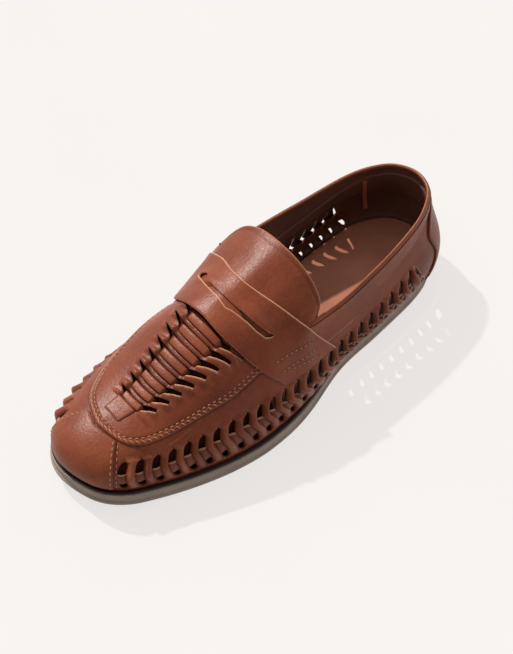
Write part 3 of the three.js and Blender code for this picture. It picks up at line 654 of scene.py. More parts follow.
# Full-grain calf: aniline brown, plated and waxed to a soft gloss. Fine pebble grain about a millimetre
# across breaks the highlights, the colour clouds from chestnut to dark brown and edges rub lighter. Painted
# shade darkens hollows, grooves and the edges of parts, and raw cut edges show a light tan.
calf_leather, tree, place, _, tone = clouded_material(
    "waxed_full_grain_calf", 29.4, 4, 0.55, [(0.28, "#662F1C"), (0.5, "#743822"), (0.74, "#824228")])
mottle = add_node(tree, "ShaderNodeTexNoise", {
    "Vector": place, "Scale": scale_of(2.38), "Detail": 3, "Roughness": 0.6})
speck = add_node(tree, "ShaderNodeMapRange", {
    "Value": mottle.outputs["Fac"], "From Min": 0.3, "From Max": 0.7, "To Min": 0.9, "To Max": 1.08})
toned = add_node(tree, "ShaderNodeVectorMath", {0: tone, 1: speck.outputs["Result"]}, operation="MULTIPLY")
bend = add_node(tree, "ShaderNodeNewGeometry")
rub = add_node(tree, "ShaderNodeMapRange", {
    "Value": bend.outputs["Pointiness"], "From Min": 0.55, "From Max": 0.62, "To Min": 0, "To Max": 0.5})
rubbed = add_node(tree, "ShaderNodeMix", {
    "Factor": rub.outputs["Result"], "A": toned.outputs["Vector"], "B": linear("#9C5B40")}, data_type="RGBA")
# painted shade: corners above zero darken towards a shaded brown, corners below zero take a raw cut edge's
# light tan
painted_shade_and_edge_input = add_node(tree, "ShaderNodeAttribute", attribute_name="painted_shade_and_raw_edge")
with_painted_shade = add_node(tree, "ShaderNodeMix", {
    "Factor": painted_shade_and_edge_input.outputs["Fac"], "A": rubbed.outputs["Result"], "B": linear("#220D07")}, data_type="RGBA")
raw = add_node(tree, "ShaderNodeMath", {0: painted_shade_and_edge_input.outputs["Fac"], 1: -1}, operation="MULTIPLY")
edged = add_node(tree, "ShaderNodeMix", {
    "Factor": raw.outputs["Value"], "A": with_painted_shade.outputs["Result"], "B": linear("#C99A74")},
    data_type="RGBA")
# pebbles are about 0.8 mm on the hide and are drawn at 1.5 mm so that they show
pebbles = add_node(tree, "ShaderNodeTexVoronoi", {
    "Vector": place, "Scale": scale_of(1.515), "Randomness": 1}, feature="SMOOTH_F1")
pores = add_node(tree, "ShaderNodeTexNoise", {
    "Vector": place, "Scale": scale_of(0.588), "Detail": 2, "Roughness": 0.6})
grain = add_node(tree, "ShaderNodeMath", {0: pebbles.outputs["Distance"], 1: pores.outputs["Fac"]},
                 operation="ADD")
grain_bump = add_node(tree, "ShaderNodeBump", {
    "Height": grain.outputs["Value"], "Strength": 0.26, "Distance": 0.0004})
wax = add_node(tree, "ShaderNodeMapRange", {
    "Value": mottle.outputs["Fac"], "From Min": 0.3, "From Max": 0.7, "To Min": 0.31, "To Max": 0.42})
shader = add_node(tree, "ShaderNodeBsdfPrincipled", {
    "Base Color": edged.outputs["Result"], "Normal": grain_bump.outputs["Normal"],
    "Roughness": wax.outputs["Result"], "IOR": 1.47, "Specular IOR Level": 0.2})
add_node(tree, "ShaderNodeOutputMaterial", {"Surface": shader.outputs["BSDF"]})

# Lining leather: thin split hide, drummed and rolled smooth. It is more matt than the outside, evenly brown,
# with soft clouds a few centimetres wide and a very fine pore.
lining_leather, tree, place, _, tone = clouded_material(
    "rolled_lining_leather", 26.3, 3, 0.5, [(0.3, "#4A281C"), (0.7, "#613828")])
shader = add_node(tree, "ShaderNodeBsdfPrincipled", {
    "Base Color": tone, "Normal": rolled_pores(tree, place), "Roughness": 0.62, "IOR": 1.45})
add_node(tree, "ShaderNodeOutputMaterial", {"Surface": shader.outputs["BSDF"]})

# Flesh side of the hide inside the vamp: unlined and fuzzy, its dark brown a painted shade so that the slits
# read as dark holes
flesh_side, tree, _, _, tone = clouded_material(
    "flesh_side_in_painted_shade", 1.67, 3, 0.6, [(0.3, "#36160A"), (0.7, "#462010")])
shader = add_node(tree, "ShaderNodeBsdfPrincipled", {
    "Base Color": tone, "Roughness": 0.9, "IOR": 1.4, "Specular IOR Level": 0.15})
add_node(tree, "ShaderNodeOutputMaterial", {"Surface": shader.outputs["BSDF"]})

VAMP_FROM = 165
vertices, faces, kinds = thicken(upper_sheets(1) + upper_sheets(-1), 0.2)
# the wall's inside within the vamp, and the inner half of every cut edge, take the flesh side's painted-shade
# brown
in_vamp = vertices[faces][:, :, 0].mean(1) > VAMP_FROM
kinds = np.where((kinds == 2) & in_vamp, 3, kinds)
make_piece("upper_wall", (vertices, faces, kinds), [calf_leather, calf_leather, lining_leather, flesh_side],
           ["upper"])

# Thong: one strip of the same calf laced lengthwise behind the bars of each band. It shows in the slits as
# a brown tab, darker with painted shade in the heel half, with a light cut edge above it in the forefoot.
THONG = {
    "low": 7.4, "high": 14.4, "heelHigh": 12, "thickness": 1.2, "sink": 0.4, "swell": 0.9, "edgeFall": 0.3,
    "from": -0.55, "to": 25.2, "lightFrom": 190,
}

# Cut edge of the hide: raw fibre, burnished but undyed, so it shows as a thin tan line, fuzzy and matt
cut_edge, tree, _, fibres, tone = clouded_material(
    "burnished_cut_edge", 1.11, 3, 0.6, [(0.3, "#A06C4C"), (0.7, "#C8976F")])
fibre_bump = add_node(tree, "ShaderNodeBump", {"Height": fibres, "Strength": 0.2, "Distance": 0.0002})
shader = add_node(tree, "ShaderNodeBsdfPrincipled", {
    "Base Color": tone, "Normal": fibre_bump.outputs["Normal"], "Roughness": 0.6, "IOR": 1.45})
add_node(tree, "ShaderNodeOutputMaterial", {"Surface": shader.outputs["BSDF"]})

slit_middles = np.array([slit_middle(number, 0.475) for number in range(BAND["slits"])])
for side, name in ((1, "outer_thong"), (-1, "inner_thong")):
    pitch = np.linspace(THONG["from"], THONG["to"], 420)
    across = np.array([0, 0.08, 0.25, 0.5, 0.75, 0.92, 1])[:, None]
    along = np.interp(pitch, *band_places(side))[None] * np.ones_like(across)
    toeward = smooth((pitch - 10) / 5)[None]
    top = mix(THONG["heelHigh"], THONG["high"], toeward) + rib("lift", along)
    bottom = THONG["low"] + 0.3 * rib("lift", along)
    share = share_at(side, along, mix(bottom, top, across))
    nearest = abs(pitch[:, None] - slit_middles[None]).min(1)
    swell = THONG["swell"] * smooth(1 - nearest / 0.4)[None] - THONG["edgeFall"] * abs(2 * across - 1) ** 4
    # painted shade in the heel half; in the forefoot the top row of the face takes the raw tan, a painted
    # highlight beside the cut edge
    shade = mix(0.5, mix(0.1, -1.1, across == 1), toeward)
    sheet = leather(side, along, share, swell - THONG["sink"], THONG["thickness"], shade)
    vertices, faces, kinds = thicken([sheet], 0.15)
    # in the heel half the cut edge takes the calf with its painted shade instead of the tan edge
    light_edge = vertices[faces][:, :, 0].mean(1) > THONG["lightFrom"]
    kinds = np.where((kinds == 1) & ~light_edge, 0, kinds)
    make_piece(name, (vertices, faces, kinds), [calf_leather, cut_edge, calf_leather])

# Apron: a panel of the same calf, sewn into the top of the vamp. Its edge is turned into a raised roll, and
# its middle is slit into bars that dip under the tapes woven across them.
APRON = {
    "thickness": 1.4, "start": 0.5, "stand": 0.85, "roll": 0.35, "groove": 0.3, "grooveAt": 4, "edge": 0.45,
}
# The strap covers the apron's rear end: ribs and shares of its edges, from the ridge down to its foot
STRAP_COLUMNS = "frontRib frontShare backRib backShare".split()
STRAP_ROWS = [
    [9.2, 1, 8, 1],
    [9, 0.84, 7.6, 1],
    [8.65, 0.66, 7.05, 1],
    [8.1, 0.51, 6.4, 1],
    [7.6, 0.43, 5.7, 0.8],
    [7.15, 0.36, 5.28, 0.48],
]
# How far behind the strap's front edge the apron begins to rise, in ribs
STRAP_OVERLAP = 0.17
# Sizes of the weave in plan, at its first tape, by the strap, and at its last one, from the ridge
TAPES = 8
TAPE_SIZES = {
    "x": (197.6, 250.2), "innerTip": (19.3, 11.3), "innerEnd": (8.8, 6.2), "outerEnd": (18.2, 9),
    "outerTip": (29, 16.5), "innerLean": (-6.6, -2.8), "outerLean": (-7.2, -5), "width": (4.5, 4.3),
}


def strap_edge(name, across):
    values = [row[STRAP_COLUMNS.index(name)] for row in STRAP_ROWS]
    listed = run_on(values)
    if name.endswith("Rib"):
        listed[0] = values[1]
    return between(listed, abs(np.asarray(across, float)) * (len(STRAP_ROWS) - 1))


strap_walk = np.linspace(1, 0, 201)
strap_walk_shares = strap_edge("frontShare", strap_walk)
strap_walk_ribs = strap_edge("frontRib", strap_walk)


def strap_front(share):
    return np.interp(share, strap_walk_shares, strap_walk_ribs) - STRAP_OVERLAP


def tape(name, number):
    return mix(*TAPE_SIZES[name], np.asarray(number, float) / (TAPES - 1))


ridge_ribs = np.linspace(THROAT_RIB, LAST_RIB, 200)
ridge_x = rib("topX", ridge_ribs)
ridge_y = rib("topY", ridge_ribs)


def ridge_at(x):
    return np.interp(x, ridge_x, ridge_y)


# A tape bows towards the toe in its middle: how far at a place across, from 0 at the inner end to 1
def tape_bow(run):
    return 1.2 * run + 0.9 * np.sin(np.pi * np.clip(run, 0, 1))


# Each slit of the apron as two tapered cuts, inner and outer: start, end and their half widths. One more
# cut opens the heel side of the first tape.
def apron_cuts():
    first = tape("x", 0) - 3.1
    first_y = ridge_at(first)
    cuts = [((first - 0.6, first_y - 9), (first + 2, first_y + 19), 0.9, 0.9)]
    for number in range(TAPES):
        x = tape("x", number)
        y = ridge_at(x)
        inner = (x - 0.3, y - tape("innerEnd", number) + 1.5)
        inner_tip = (x + tape("innerLean", number), y - tape("innerTip", number))
        outer = (x + 1.2, y + tape("outerEnd", number) - 2)
        outer_tip = (x + 1.2 + tape("outerLean", number), y + tape("outerTip", number) - 0.8)
        cuts.append((inner, inner_tip, 1.7, 0.15))
        cuts.append((outer, outer_tip, 1.8, 1.0))
    return cuts


APRON_CUTS = apron_cuts()


# Distance from the nearest cut's edge, negative inside, with the direction away from it
def cut_distance(x, y):
    best = np.full(x.shape, 1e9)
    away_x = np.zeros_like(x)
    away_y = np.zeros_like(y)
    for start, end, wide, narrow in APRON_CUTS:
        run_x = end[0] - start[0]
        run_y = end[1] - start[1]
        t = np.clip(((x - start[0]) * run_x + (y - start[1]) * run_y) / (run_x ** 2 + run_y ** 2), 0, 1)
        dx = x - start[0] - t * run_x
        dy = y - start[1] - t * run_y
        length = np.maximum(np.hypot(dx, dy), 1e-6)
        distance = length - mix(wide, narrow, t)
        nearer = distance < best
        best = np.where(nearer, distance, best)
        away_x = np.where(nearer, dx / length, away_x)
        away_y = np.where(nearer, dy / length, away_y)
    return best, away_x, away_y


# Which tape a point of the plan lies by, as a number with a fraction, and how far it is from the ridge
def tape_number(x, y):
    pitch = tape("x", 1) - tape("x", 0)
    rough = np.clip((x - tape("x", 0)) / pitch, 0, TAPES - 1)
    offset = y - ridge_at(x)
    run = (offset + tape("innerEnd", rough)) / (tape("innerEnd", rough) + tape("outerEnd", rough))
    return (x - tape_bow(run) - tape("x", 0)) / pitch, offset


# How the plan moves with the rib and with the share, around a point of the skin
def plan_slopes(side, along, share, point):
    step = 0.004
    by_rib = (skin(side, np.minimum(along + step, LAST_RIB), share) - point) / step
    by_share = (point - skin(side, along, share - step)) / step
    return by_rib, by_share


# The ribs and shares that a step in plan leads over
def plan_step(by_rib, by_share, dx, dy):
    area = by_rib[..., 0] * by_share[..., 1] - by_rib[..., 1] * by_share[..., 0]
    area = np.where(abs(area) < 1e-6, 1e-6, area)
    ribs = (dx * by_share[..., 1] - dy * by_share[..., 0]) / area
    return ribs, (dy * by_rib[..., 0] - dx * by_rib[..., 1]) / area


def apron_sheet(side):
    columns = np.concatenate([np.linspace(0, 0.62, 165)[:-1], np.linspace(0.62, 1, 42)])[None]
    rows = np.concatenate([np.linspace(0, 0.3, 22)[:-1], np.linspace(0.3, 1, 62)])[:, None]
    share = mix(0.47, 1, rows)
    for turn in range(4):
        start = np.minimum(strap_front(share) - 0.4, THROAT_RIB + 0.03)
        along = mix(start, LAST_RIB, columns)
        share = mix(seam_share(side, along), 1, rows)
    # corners beside a cut are drawn onto its edge
    for turn in range(2):
        point = skin(side, along, share)
        distance, away_x, away_y = cut_distance(point[..., 0], point[..., 1])
        by_rib, by_share = plan_slopes(side, along, share, point)
        cell = np.hypot(by_share[..., 0], by_share[..., 1]) * 0.004 + 0.22
        pull = np.where(abs(distance) < cell, -distance, 0) * (rows < 0.999)
        ribs, shares = plan_step(by_rib, by_share, pull * away_x, pull * away_y)
        along = np.clip(along + ribs, 7, LAST_RIB)
        share = np.clip(share + shares, 0, 1)
    point = skin(side, along, share)
    distance, away_x, away_y = cut_distance(point[..., 0], point[..., 1])
    middle = (point[:-1, :-1] + point[:-1, 1:] + point[1:, 1:] + point[1:, :-1]) / 4
    keep = cut_distance(middle[..., 0], middle[..., 1])[0] > 0
    # the edge is a roll with a sewn groove inside it
    from_seam = girth_at(side, along, share) - girth_at(side, along, seam_share(side, along))
    from_strap = along - strap_front(share)
    at_edge = 1 - smooth(from_seam / 0.9)
    roll = APRON["roll"] * bell(from_seam - 1.9, 1.0)
    roll = roll - APRON["groove"] * bell(from_seam - APRON["grooveAt"], 0.6) - APRON["edge"] * at_edge
    height = mix(APRON["start"], APRON["stand"], smooth(from_strap / 0.25))
    height = height + roll * smooth((from_strap + 0.1) / 0.15)
    # bars sink under the tapes and stand up beside them
    number, offset = tape_number(point[..., 0], point[..., 1])
    apart = 0.5 - abs(number - np.floor(number) - 0.5)
    in_row = smooth((number + 0.55) / 0.2) * smooth((TAPES - 0.5 - number) / 0.2)
    listed = np.clip(number, 0, TAPES - 1)
    outside = offset > 0
    reach = np.where(outside, tape("outerEnd", listed), tape("innerEnd", listed))
    tip = np.where(outside, tape("outerTip", listed), tape("innerTip", listed))
    sunk = in_row * smooth((reach + 1.2 - abs(offset)) / 3)
    under_tape = 1 - smooth((apart - 0.26) / 0.12)
    from_cut = np.maximum(distance, 0)
    beside = in_row * smooth((abs(offset) - reach + 1) / 3) * smooth((tip + 3 - abs(offset)) / 6)
    height = height - sunk * (0.7 + 1.3 * under_tape) - 0.4 * np.exp(-from_cut / 0.6) * (1 - sunk)
    height = height + np.where(outside, 1.3, 1.7) * beside * smooth((apart - 0.1) / 0.3)
    # painted shade where the bars sink under the tapes, along the cuts, at the roll's edge and in the stitch
    # groove
    shade = sunk * mix(0.3, 0.75, under_tape) + 0.5 * np.exp(-from_cut / 0.7)
    shade = shade + 0.35 * at_edge + 0.3 * bell(from_seam - APRON["grooveAt"], 0.7)
    cut = np.exp(-from_cut / 0.35) * smooth((away_x - 0.2) / 0.4) * (1 - sunk)
    shade = shade - 1.3 * cut * outside
    return leather(side, along, share, height, APRON["thickness"], shade, keep)


# the apron's inside and the inner half of its cut edges take the flesh side's painted-shade brown
make_piece("apron", thicken([apron_sheet(1), apron_sheet(-1)], 0.2), [calf_leather, calf_leather, flesh_side],
           ["upper"])

# Vamp lining: sheets of split hide in the flesh side's painted-shade brown, cemented under the woven parts
# of apron and band, so that their slits read dark. A row gives the ribs and the shares that a sheet reaches
# over.
LININGS = [[8.1, 12.4, 0.62, 1], [7.6, 12.7, 0.08, 0.6]]
LINING = {"clear": 3.4, "thickness": 0.8}
for side, name in ((1, "outer_vamp_lining"), (-1, "inner_vamp_lining")):
    sheets = []
    for rib_from, rib_to, share_from, share_to in LININGS:
        along, share = np.meshgrid(np.linspace(rib_from, rib_to, 40), np.linspace(share_from, share_to, 24))
        depth = np.full(along.shape, -LINING["clear"])
        sheets.append(leather(side, along, share, depth, LINING["thickness"]))
    make_piece(name, thicken(sheets, 0.1), [flesh_side])

# Lining seam: a narrow tape of lighter leather, sewn flat over the joint of the inner quarter's lining near
# the heel, from the insole to below the binding
SEAM_TAPE = {"foot": (2.05, 0.19), "head": (2.36, 0.86), "width": 3, "clear": 0.1, "thickness": 0.5}
tape_up = np.linspace(0, 1, 40)[:, None]
tape_wide = np.linspace(-0.5, 0.5, 7)[None] * SEAM_TAPE["width"] / RIB_SPACING
along = mix(SEAM_TAPE["foot"][0], SEAM_TAPE["head"][0], tape_up) + tape_wide
share = mix(SEAM_TAPE["foot"][1], SEAM_TAPE["head"][1], tape_up) * np.ones_like(along)
depth = np.full(along.shape, -WALL - SEAM_TAPE["clear"])
sheet = leather(-1, along, share, depth, SEAM_TAPE["thickness"])
make_piece("lining_seam", thicken([sheet], 0.1), [insole_leather])

# Tapes: eight short strips of the same calf, folded over the slits and tucked down at both ends, and a square
# tab that closes the row in front of them
TAPE = {"tuck": 1.2, "low": -1.3, "high": 1.3, "arch": 0.3, "edgeFall": 0.55, "thickness": 1.2}
END_TAB = {"rear": 253.6, "front": 264.4, "inner": -7.4, "outer": 8, "skew": 1.4, "thickness": 1.4}


# The skin under a point of the plan, found from a guess in a few steps
def skin_under(x, y):
    side = np.where(y >= ridge_at(x), 1.0, -1.0)
    along = np.interp(x, ridge_x, ridge_ribs)
    share = np.clip(1 - abs(y - ridge_at(x)) / 90, 0.4, 0.995)
    for turn in range(12):
        point = skin(side, along, share)
        slopes = plan_slopes(side, along, share, point)
        ribs, shares = plan_step(*slopes, x - point[..., 0], y - point[..., 1])
        along = np.clip(along + ribs, THROAT_RIB, LAST_RIB - 0.01)
        share = np.clip(share + shares, 0.3, 1)
    return side, along, share


run = np.linspace(0, 1, 45)[None]
across = np.array([-1, -0.97, -0.9, -0.7, -0.35, 0, 0.35, 0.7, 0.9, 0.97, 1])[:, None]
tuck = smooth(run / 0.14) * smooth((1 - run) / 0.12)
for number in range(TAPES):
    x = tape("x", number)
    start_y = ridge_at(x) - tape("innerEnd", number) - TAPE["tuck"]
    end_y = ridge_at(x) + tape("outerEnd", number) + TAPE["tuck"]
    y = mix(start_y, end_y, run) * np.ones_like(across)
    half_width = tape("width", number) / 2 * mix(0.9, 1, np.sin(np.pi * np.clip(run, 0.1, 0.9)))
    side, along, share = skin_under(x + tape_bow(run) + across * half_width, y)
    height = mix(TAPE["low"], TAPE["high"], tuck) + TAPE["arch"] * np.sin(np.pi * run)
    height = height - TAPE["edgeFall"] * abs(across) ** 6
    high = on_skin(side, along, share, height)
    low = on_skin(side, along, share, height - TAPE["thickness"])
    # painted shade along the tape's edges and at its ends, where they tuck under
    shade = 0.4 * abs(across) ** 10 + 0.7 * (1 - tuck)
    make_piece(f"tape_{number + 1}", thicken([(high[::-1], low[::-1], None, shade[::-1])], 0.1),
               [calf_leather, calf_leather, lining_leather])

run = np.concatenate([[0, 0.02, 0.05], np.linspace(0.1, 0.9, 12), [0.95, 0.98, 1]])
ahead, across = np.meshgrid(run, run)
x = mix(END_TAB["rear"], END_TAB["front"], ahead) + END_TAB["skew"] * (across - 0.5)
y = mix(END_TAB["inner"], END_TAB["outer"], across) * mix(1, 0.9, ahead) + ridge_at(x)
side, along, share = skin_under(x, y)
edge = np.minimum(np.minimum(across, 1 - across), ahead)
height = mix(1.7, 1.5, ahead) - 0.45 * (1 - smooth(edge / 0.06)) - 0.35 * smooth((ahead - 0.9) / 0.1)
high = on_skin(side, along, share, height)
low = on_skin(side, along, share, height - END_TAB["thickness"])
# painted shade along the tab's sunk edges
shade = 0.7 * (1 - smooth(np.minimum(edge, 1 - ahead) / 0.05))
make_piece("apron_end_tab", thicken([(high, low, None, shade)], 0.1),
           [calf_leather, calf_leather, lining_leather])

# Apron stitching: waxed brown thread, one row of running stitches inside the roll and one of slanted
# stitches over it
STITCH = {"length": 2.3, "gap": 1.2, "width": 0.75, "height": 0.7}
SLANTED = {"low": 0.9, "high": 2.9, "width": 0.7, "height": 0.8}

# Waxed thread: twisted polyester a shade lighter than the hide, satin. Its twist is too fine to show and is
# drawn as a cloudy tone.
thread, tree, _, _, tone = clouded_material(
    "waxed_brown_thread", 0.667, 2, 0.6, [(0.3, "#8C573A"), (0.7, "#A97350")])
shader = add_node(tree, "ShaderNodeBsdfPrincipled", {"Base Color": tone, "Roughness": 0.5, "IOR": 1.5})
add_node(tree, "ShaderNodeOutputMaterial", {"Surface": shader.outputs["BSDF"]})


# Every stitch is a short closed dash from start to end, thickest in the middle
def stitches(starts, ends, normals, width, height):
    spots = np.array([0, 0.12, 0.35, 0.65, 0.88, 1])[None, :, None]
    swell = np.array([0.25, 0.75, 1, 1, 0.75, 0.25])[:, None]
    sink = np.array([-0.35, 0, 0.1, 0.1, 0, -0.35])[None, :, None] * height
    turn = np.linspace(0, 2 * np.pi, 7)[:-1][None]
    across = unit(np.cross(normals, ends - starts))
    middle = mix(starts[:, None], ends[:, None], spots) + normals[:, None] * sink
    wide = (swell * np.cos(turn) * width / 2)[None, ..., None]
    tall = (swell * np.sin(turn) * height / 2)[None, ..., None]
    rings = middle[:, :, None] + across[:, None, None] * wide + normals[:, None, None] * tall
    number = np.arange(rings[..., 0].size).reshape(rings.shape[:3])
    ahead = np.roll(number, -1, 2)
    sides = np.stack([number[:, :-1], ahead[:, :-1], ahead[:, 1:], number[:, 1:]], -1).reshape(-1, 4)
    first = number[:, 0][:, [0, 3, 2, 1]], number[:, 0][:, [0, 5, 4, 3]]
    last = number[:, -1][:, [0, 1, 2, 3]], number[:, -1][:, [0, 3, 4, 5]]
    return rings.reshape(-1, 3), np.concatenate([sides, *first, *last])


# Even places along a line of points, as starts and ends of dashes with the normals under them
def dashes(points, normals):
    walked = walked_length(points)
    begin = np.arange(0, walked[-1] - STITCH["length"], STITCH["length"] + STITCH["gap"])

    def at(values, place):
        return np.stack([np.interp(place, walked, values[:, axis]) for axis in range(3)], -1)

    end = begin + STITCH["length"]
    return at(points, begin), at(points, end), at(normals, begin + STITCH["length"] / 2)


# Running stitches along lines of points with their normals, as one piece
def sew(name, lines):
    parts = [np.concatenate(part) for part in zip(*[dashes(*line) for line in lines])]
    make_piece(name, stitches(*parts, STITCH["width"], STITCH["height"]), [thread], (), 180)


# A line on the apron at a length from its edge, from the strap round the toe and back to the strap
def apron_line(from_edge, height):
    points = []
    normals = []
    for side in SIDES:
        along = np.linspace(8, LAST_RIB, 300)
        share = share_at(side, along, girth_at(side, along, seam_share(side, along)) + from_edge)
        seen = along > strap_front(share) - 0.12
        line = on_skin(side, along, share, np.full(along.shape, height))[seen]
        up = skin_normal(side, along, share)[seen]
        points.append(line if side > 0 else line[::-1])
        normals.append(up if side > 0 else up[::-1])
    return np.concatenate(points), np.concatenate(normals)


running = stitches(*dashes(*apron_line(APRON["grooveAt"], 0.68)), STITCH["width"], STITCH["height"])
low_line = dashes(*apron_line(SLANTED["low"], 1.0))
high_line = dashes(*apron_line(SLANTED["high"], 1.1))
count = min(len(low_line[0]), len(high_line[0]))
slanted = stitches(low_line[0][:count], high_line[1][:count], low_line[2][:count],
                   SLANTED["width"], SLANTED["height"])
vertices = np.concatenate([running[0], slanted[0]])
faces = np.concatenate([running[1], slanted[1] + len(running[0])])
make_piece("apron_stitching", (vertices, faces), [thread], (), 180)

# Toe cap: calf skived at its edges, moulded wet over the toe below the apron, and sewn down at its rear
# edges where the woven bands begin
CAP = {"from": 12.36, "foot": 0.05, "clearance": 0.012, "low": 0.15, "high": 1.55, "skived": 0.5}


def cap_sheet(side):
    columns = np.concatenate([[0, 0.012, 0.03], np.linspace(0.06, 1, 40)])[None]
    rows = np.concatenate([[0, 0.012, 0.03], np.linspace(0.06, 0.94, 40), [0.965, 0.985, 1]])[:, None]
    along = mix(CAP["from"], LAST_RIB, columns) * np.ones_like(rows)
    share = mix(CAP["foot"], seam_share(side, along) - CAP["clearance"], rows)
    edge = np.minimum(columns / 0.03, np.minimum(rows / 0.03, (1 - rows) / 0.035))
    height = CAP["high"] - CAP["skived"] * (1 - smooth(edge)) + creases(along, share) * 0.8
    # the last value is painted shade along the skived edges, where the cap meets the wall
    return leather(side, along, share, height, height - CAP["low"], 0.4 * (1 - smooth(edge * 1.5)))


make_piece("toe_cap", thicken([cap_sheet(1), cap_sheet(-1)], 0.2), [calf_leather, calf_leather, calf_leather],
           ["toe_cap"])

# Toe cap stitching: the same thread, a row of running stitches on the cap and one on the wall beside its
# rear edge, from the welt up to the apron
CAP_ROWS = ((0.1, CAP["high"]), (-0.1, 0.1))
lines = []
for side in SIDES:
    for ahead, height in CAP_ROWS:
        place = CAP["from"] + ahead
        share = np.linspace(0.07, seam_share(side, place) - 0.02, 120)
        along = np.full(share.shape, place)
        line = on_skin(side, along, share, np.full(share.shape, height))
        lines.append((line, skin_normal(side, along, share)))
sew("toe_cap_stitching", lines)

# Heel counter: a stiffened calf overlay, moulded around the back of the heel and cemented on, its front edge
# cut to an S curve. The ribs of that edge run from the welt up to the binding.
COUNTER_RIBS = [2.7, 2.2, 2.4, 1.7]
COUNTER = {"foot": 0.03, "top": 0.955, "low": 0.15, "high": 1.45, "skived": 0.5, "wave": 0.15}


def counter_sheet(side):
    rows = np.concatenate([[0, 0.015], np.linspace(0.04, 0.96, 40), [0.985, 1]])[:, None]
    columns = np.concatenate([np.linspace(0, 0.95, 40), [0.97, 0.985, 1]])[None]
    along = between(run_on(COUNTER_RIBS), rows * (len(COUNTER_RIBS) - 1)) * columns
    share = mix(COUNTER["foot"], COUNTER["top"], rows) * np.ones_like(columns)
    edge = np.minimum((1 - columns) / 0.03, np.minimum(rows, 1 - rows) / 0.03)
    wave = COUNTER["wave"] * np.sin(along * 2.4) * np.sin(share * 5)
    height = COUNTER["high"] - COUNTER["skived"] * (1 - smooth(edge)) + wave
    # the last value is painted shade along the skived edges, where the counter meets the quarter
    return leather(side, along, share, height, height - COUNTER["low"], 0.5 * (1 - smooth(edge * 1.5)))


make_piece("heel_counter", thicken([counter_sheet(1), counter_sheet(-1)], 0.2),
           [calf_leather, calf_leather, calf_leather], ["heel_counter"])

# Saddle strap: a calf band over the instep with a pointed slot, its edges left raw. Its two feet are sewn
# to the quarters above the woven band.
STRAP = {"thickness": 1.3, "clear": 0.9, "footClear": 0.25, "width": 40, "halfLength": 75, "edgeFall": 0.3}
# Corners of its back and front edge, even from the inner foot over the ridge to the outer foot
STRAP_BACK = [
    [130.1, -38.4, 34.1], [141.6, -41.6, 50.3], [152.5, -36.5, 69], [157.8, -20.5, 80], [162.8, -7.5, 84.1],
    [164.6, 4, 85.2], [162.3, 14.5, 82], [158.6, 25.5, 77.6], [151.8, 37.3, 67.6], [141.1, 43.9, 50.9],
    [129.9, 47.1, 35.1],
]
STRAP_FRONT = [
    [173.3, -40, 38.2], [180, -38.4, 47], [185.5, -33.6, 56], [191, -25, 67], [193.8, -11, 75.6],
    [195.2, 3, 78.2], [195.8, 16.7, 75], [192.3, 30.8, 66.6], [186.4, 40.3, 55.2], [180, 46.8, 47.1],
    [173.3, 50.1, 38.5],
]
# The slot: a place across the strap, and its back and front edge there as steps from the back of the strap
SLOT_ROWS = [
    [-0.44, 0.44, 0.44], [-0.43, 0.4, 0.47], [-0.385, 0.35, 0.49], [-0.33, 0.37, 0.5], [-0.285, 0.425, 0.512],
    [-0.177, 0.445, 0.534], [-0.04, 0.456, 0.556], [0.094, 0.452, 0.604], [0.15, 0.449, 0.567],
    [0.21, 0.446, 0.546], [0.311, 0.455, 0.538], [0.414, 0.46, 0.56], [0.49, 0.45, 0.55], [0.52, 0.43, 0.48],
    [0.53, 0.42, 0.42],
]
# Rows of stitches that fix its feet, as across and step at both ends
STRAP_STITCHES = [[0.68, 0.77, 0.78, 0.16], [0.81, 0.84, 0.867, 0.2], [0.864, 0.7, 0.944, 0.27]]


# A smooth curve through even corners, by cubic pieces with the neighbours' slope
def corner_curve(corners, place):
    corners = np.array(run_on(np.array(corners, float)))
    place = np.clip(place, 0, 1) * (len(corners) - 3)
    row = np.minimum(np.floor(place).astype(int), len(corners) - 4)
    before, start, end, after = [corners[row + step] for step in range(4)]
    return cubic(start, (end - before) / 2, (after - start) / 2, end, (place - row)[..., None])


# The place on the skin closest to a target point, found from a guess in a few steps
def settle(side, along, share, target):
    step = 0.01
    for turn in range(10):
        here = skin(side, along, share)
        by_rib = (skin(side, along + step, share) - here) / step
        by_share = (here - skin(side, along, share - step)) / step
        miss = target - here
        rib_square = (by_rib ** 2).sum(-1)
        share_square = (by_share ** 2).sum(-1)
        skew = (by_rib * by_share).sum(-1)
        area = np.maximum(rib_square * share_square - skew ** 2, 1e-6)
        to_rib = (miss * by_rib).sum(-1)
        to_share = (miss * by_share).sum(-1)
        along = np.clip(along + (to_rib * share_square - to_share * skew) / area, 4, 10.5)
        share = np.clip(share + (to_share * rib_square - to_rib * skew) / area, 0.2, 1)
    return along, share


# The strap's outer face: across runs from -1 on the inner side to 1 on the outer, step from back to front.
# It is drawn straight from edge to edge and lifted wherever the vamp would come through.
def strap_face(across, step):
    across, step = np.broadcast_arrays(np.asarray(across, float), np.asarray(step, float))
    back = corner_curve(STRAP_BACK, (across + 1) / 2)
    front = corner_curve(STRAP_FRONT, (across + 1) / 2)
    point = mix(back, front, step[..., None])
    side = np.where(point[..., 1] >= rib("topY", 8.5), 1.0, -1.0)
    along = mix(strap_edge("backRib", across), strap_edge("frontRib", across), step)
    share = mix(strap_edge("backShare", across), strap_edge("frontShare", across), step)
    along, share = settle(side, along, np.minimum(share, 0.99), point)
    normal = skin_normal(side, along, share)
    height = ((point - skin(side, along, share)) * normal).sum(-1)
    foot = smooth((abs(across) - 0.72) / 0.2)
    wanted = STRAP["thickness"] + mix(STRAP["clear"], STRAP["footClear"], foot)
    over_throat = np.maximum(smooth((step - 0.2) / 0.25), smooth((abs(across) - 0.6) / 0.1))
    lift = np.log1p(np.exp((wanted - height) * 4)) / 4
    return point + normal * (lift * over_throat)[..., None]


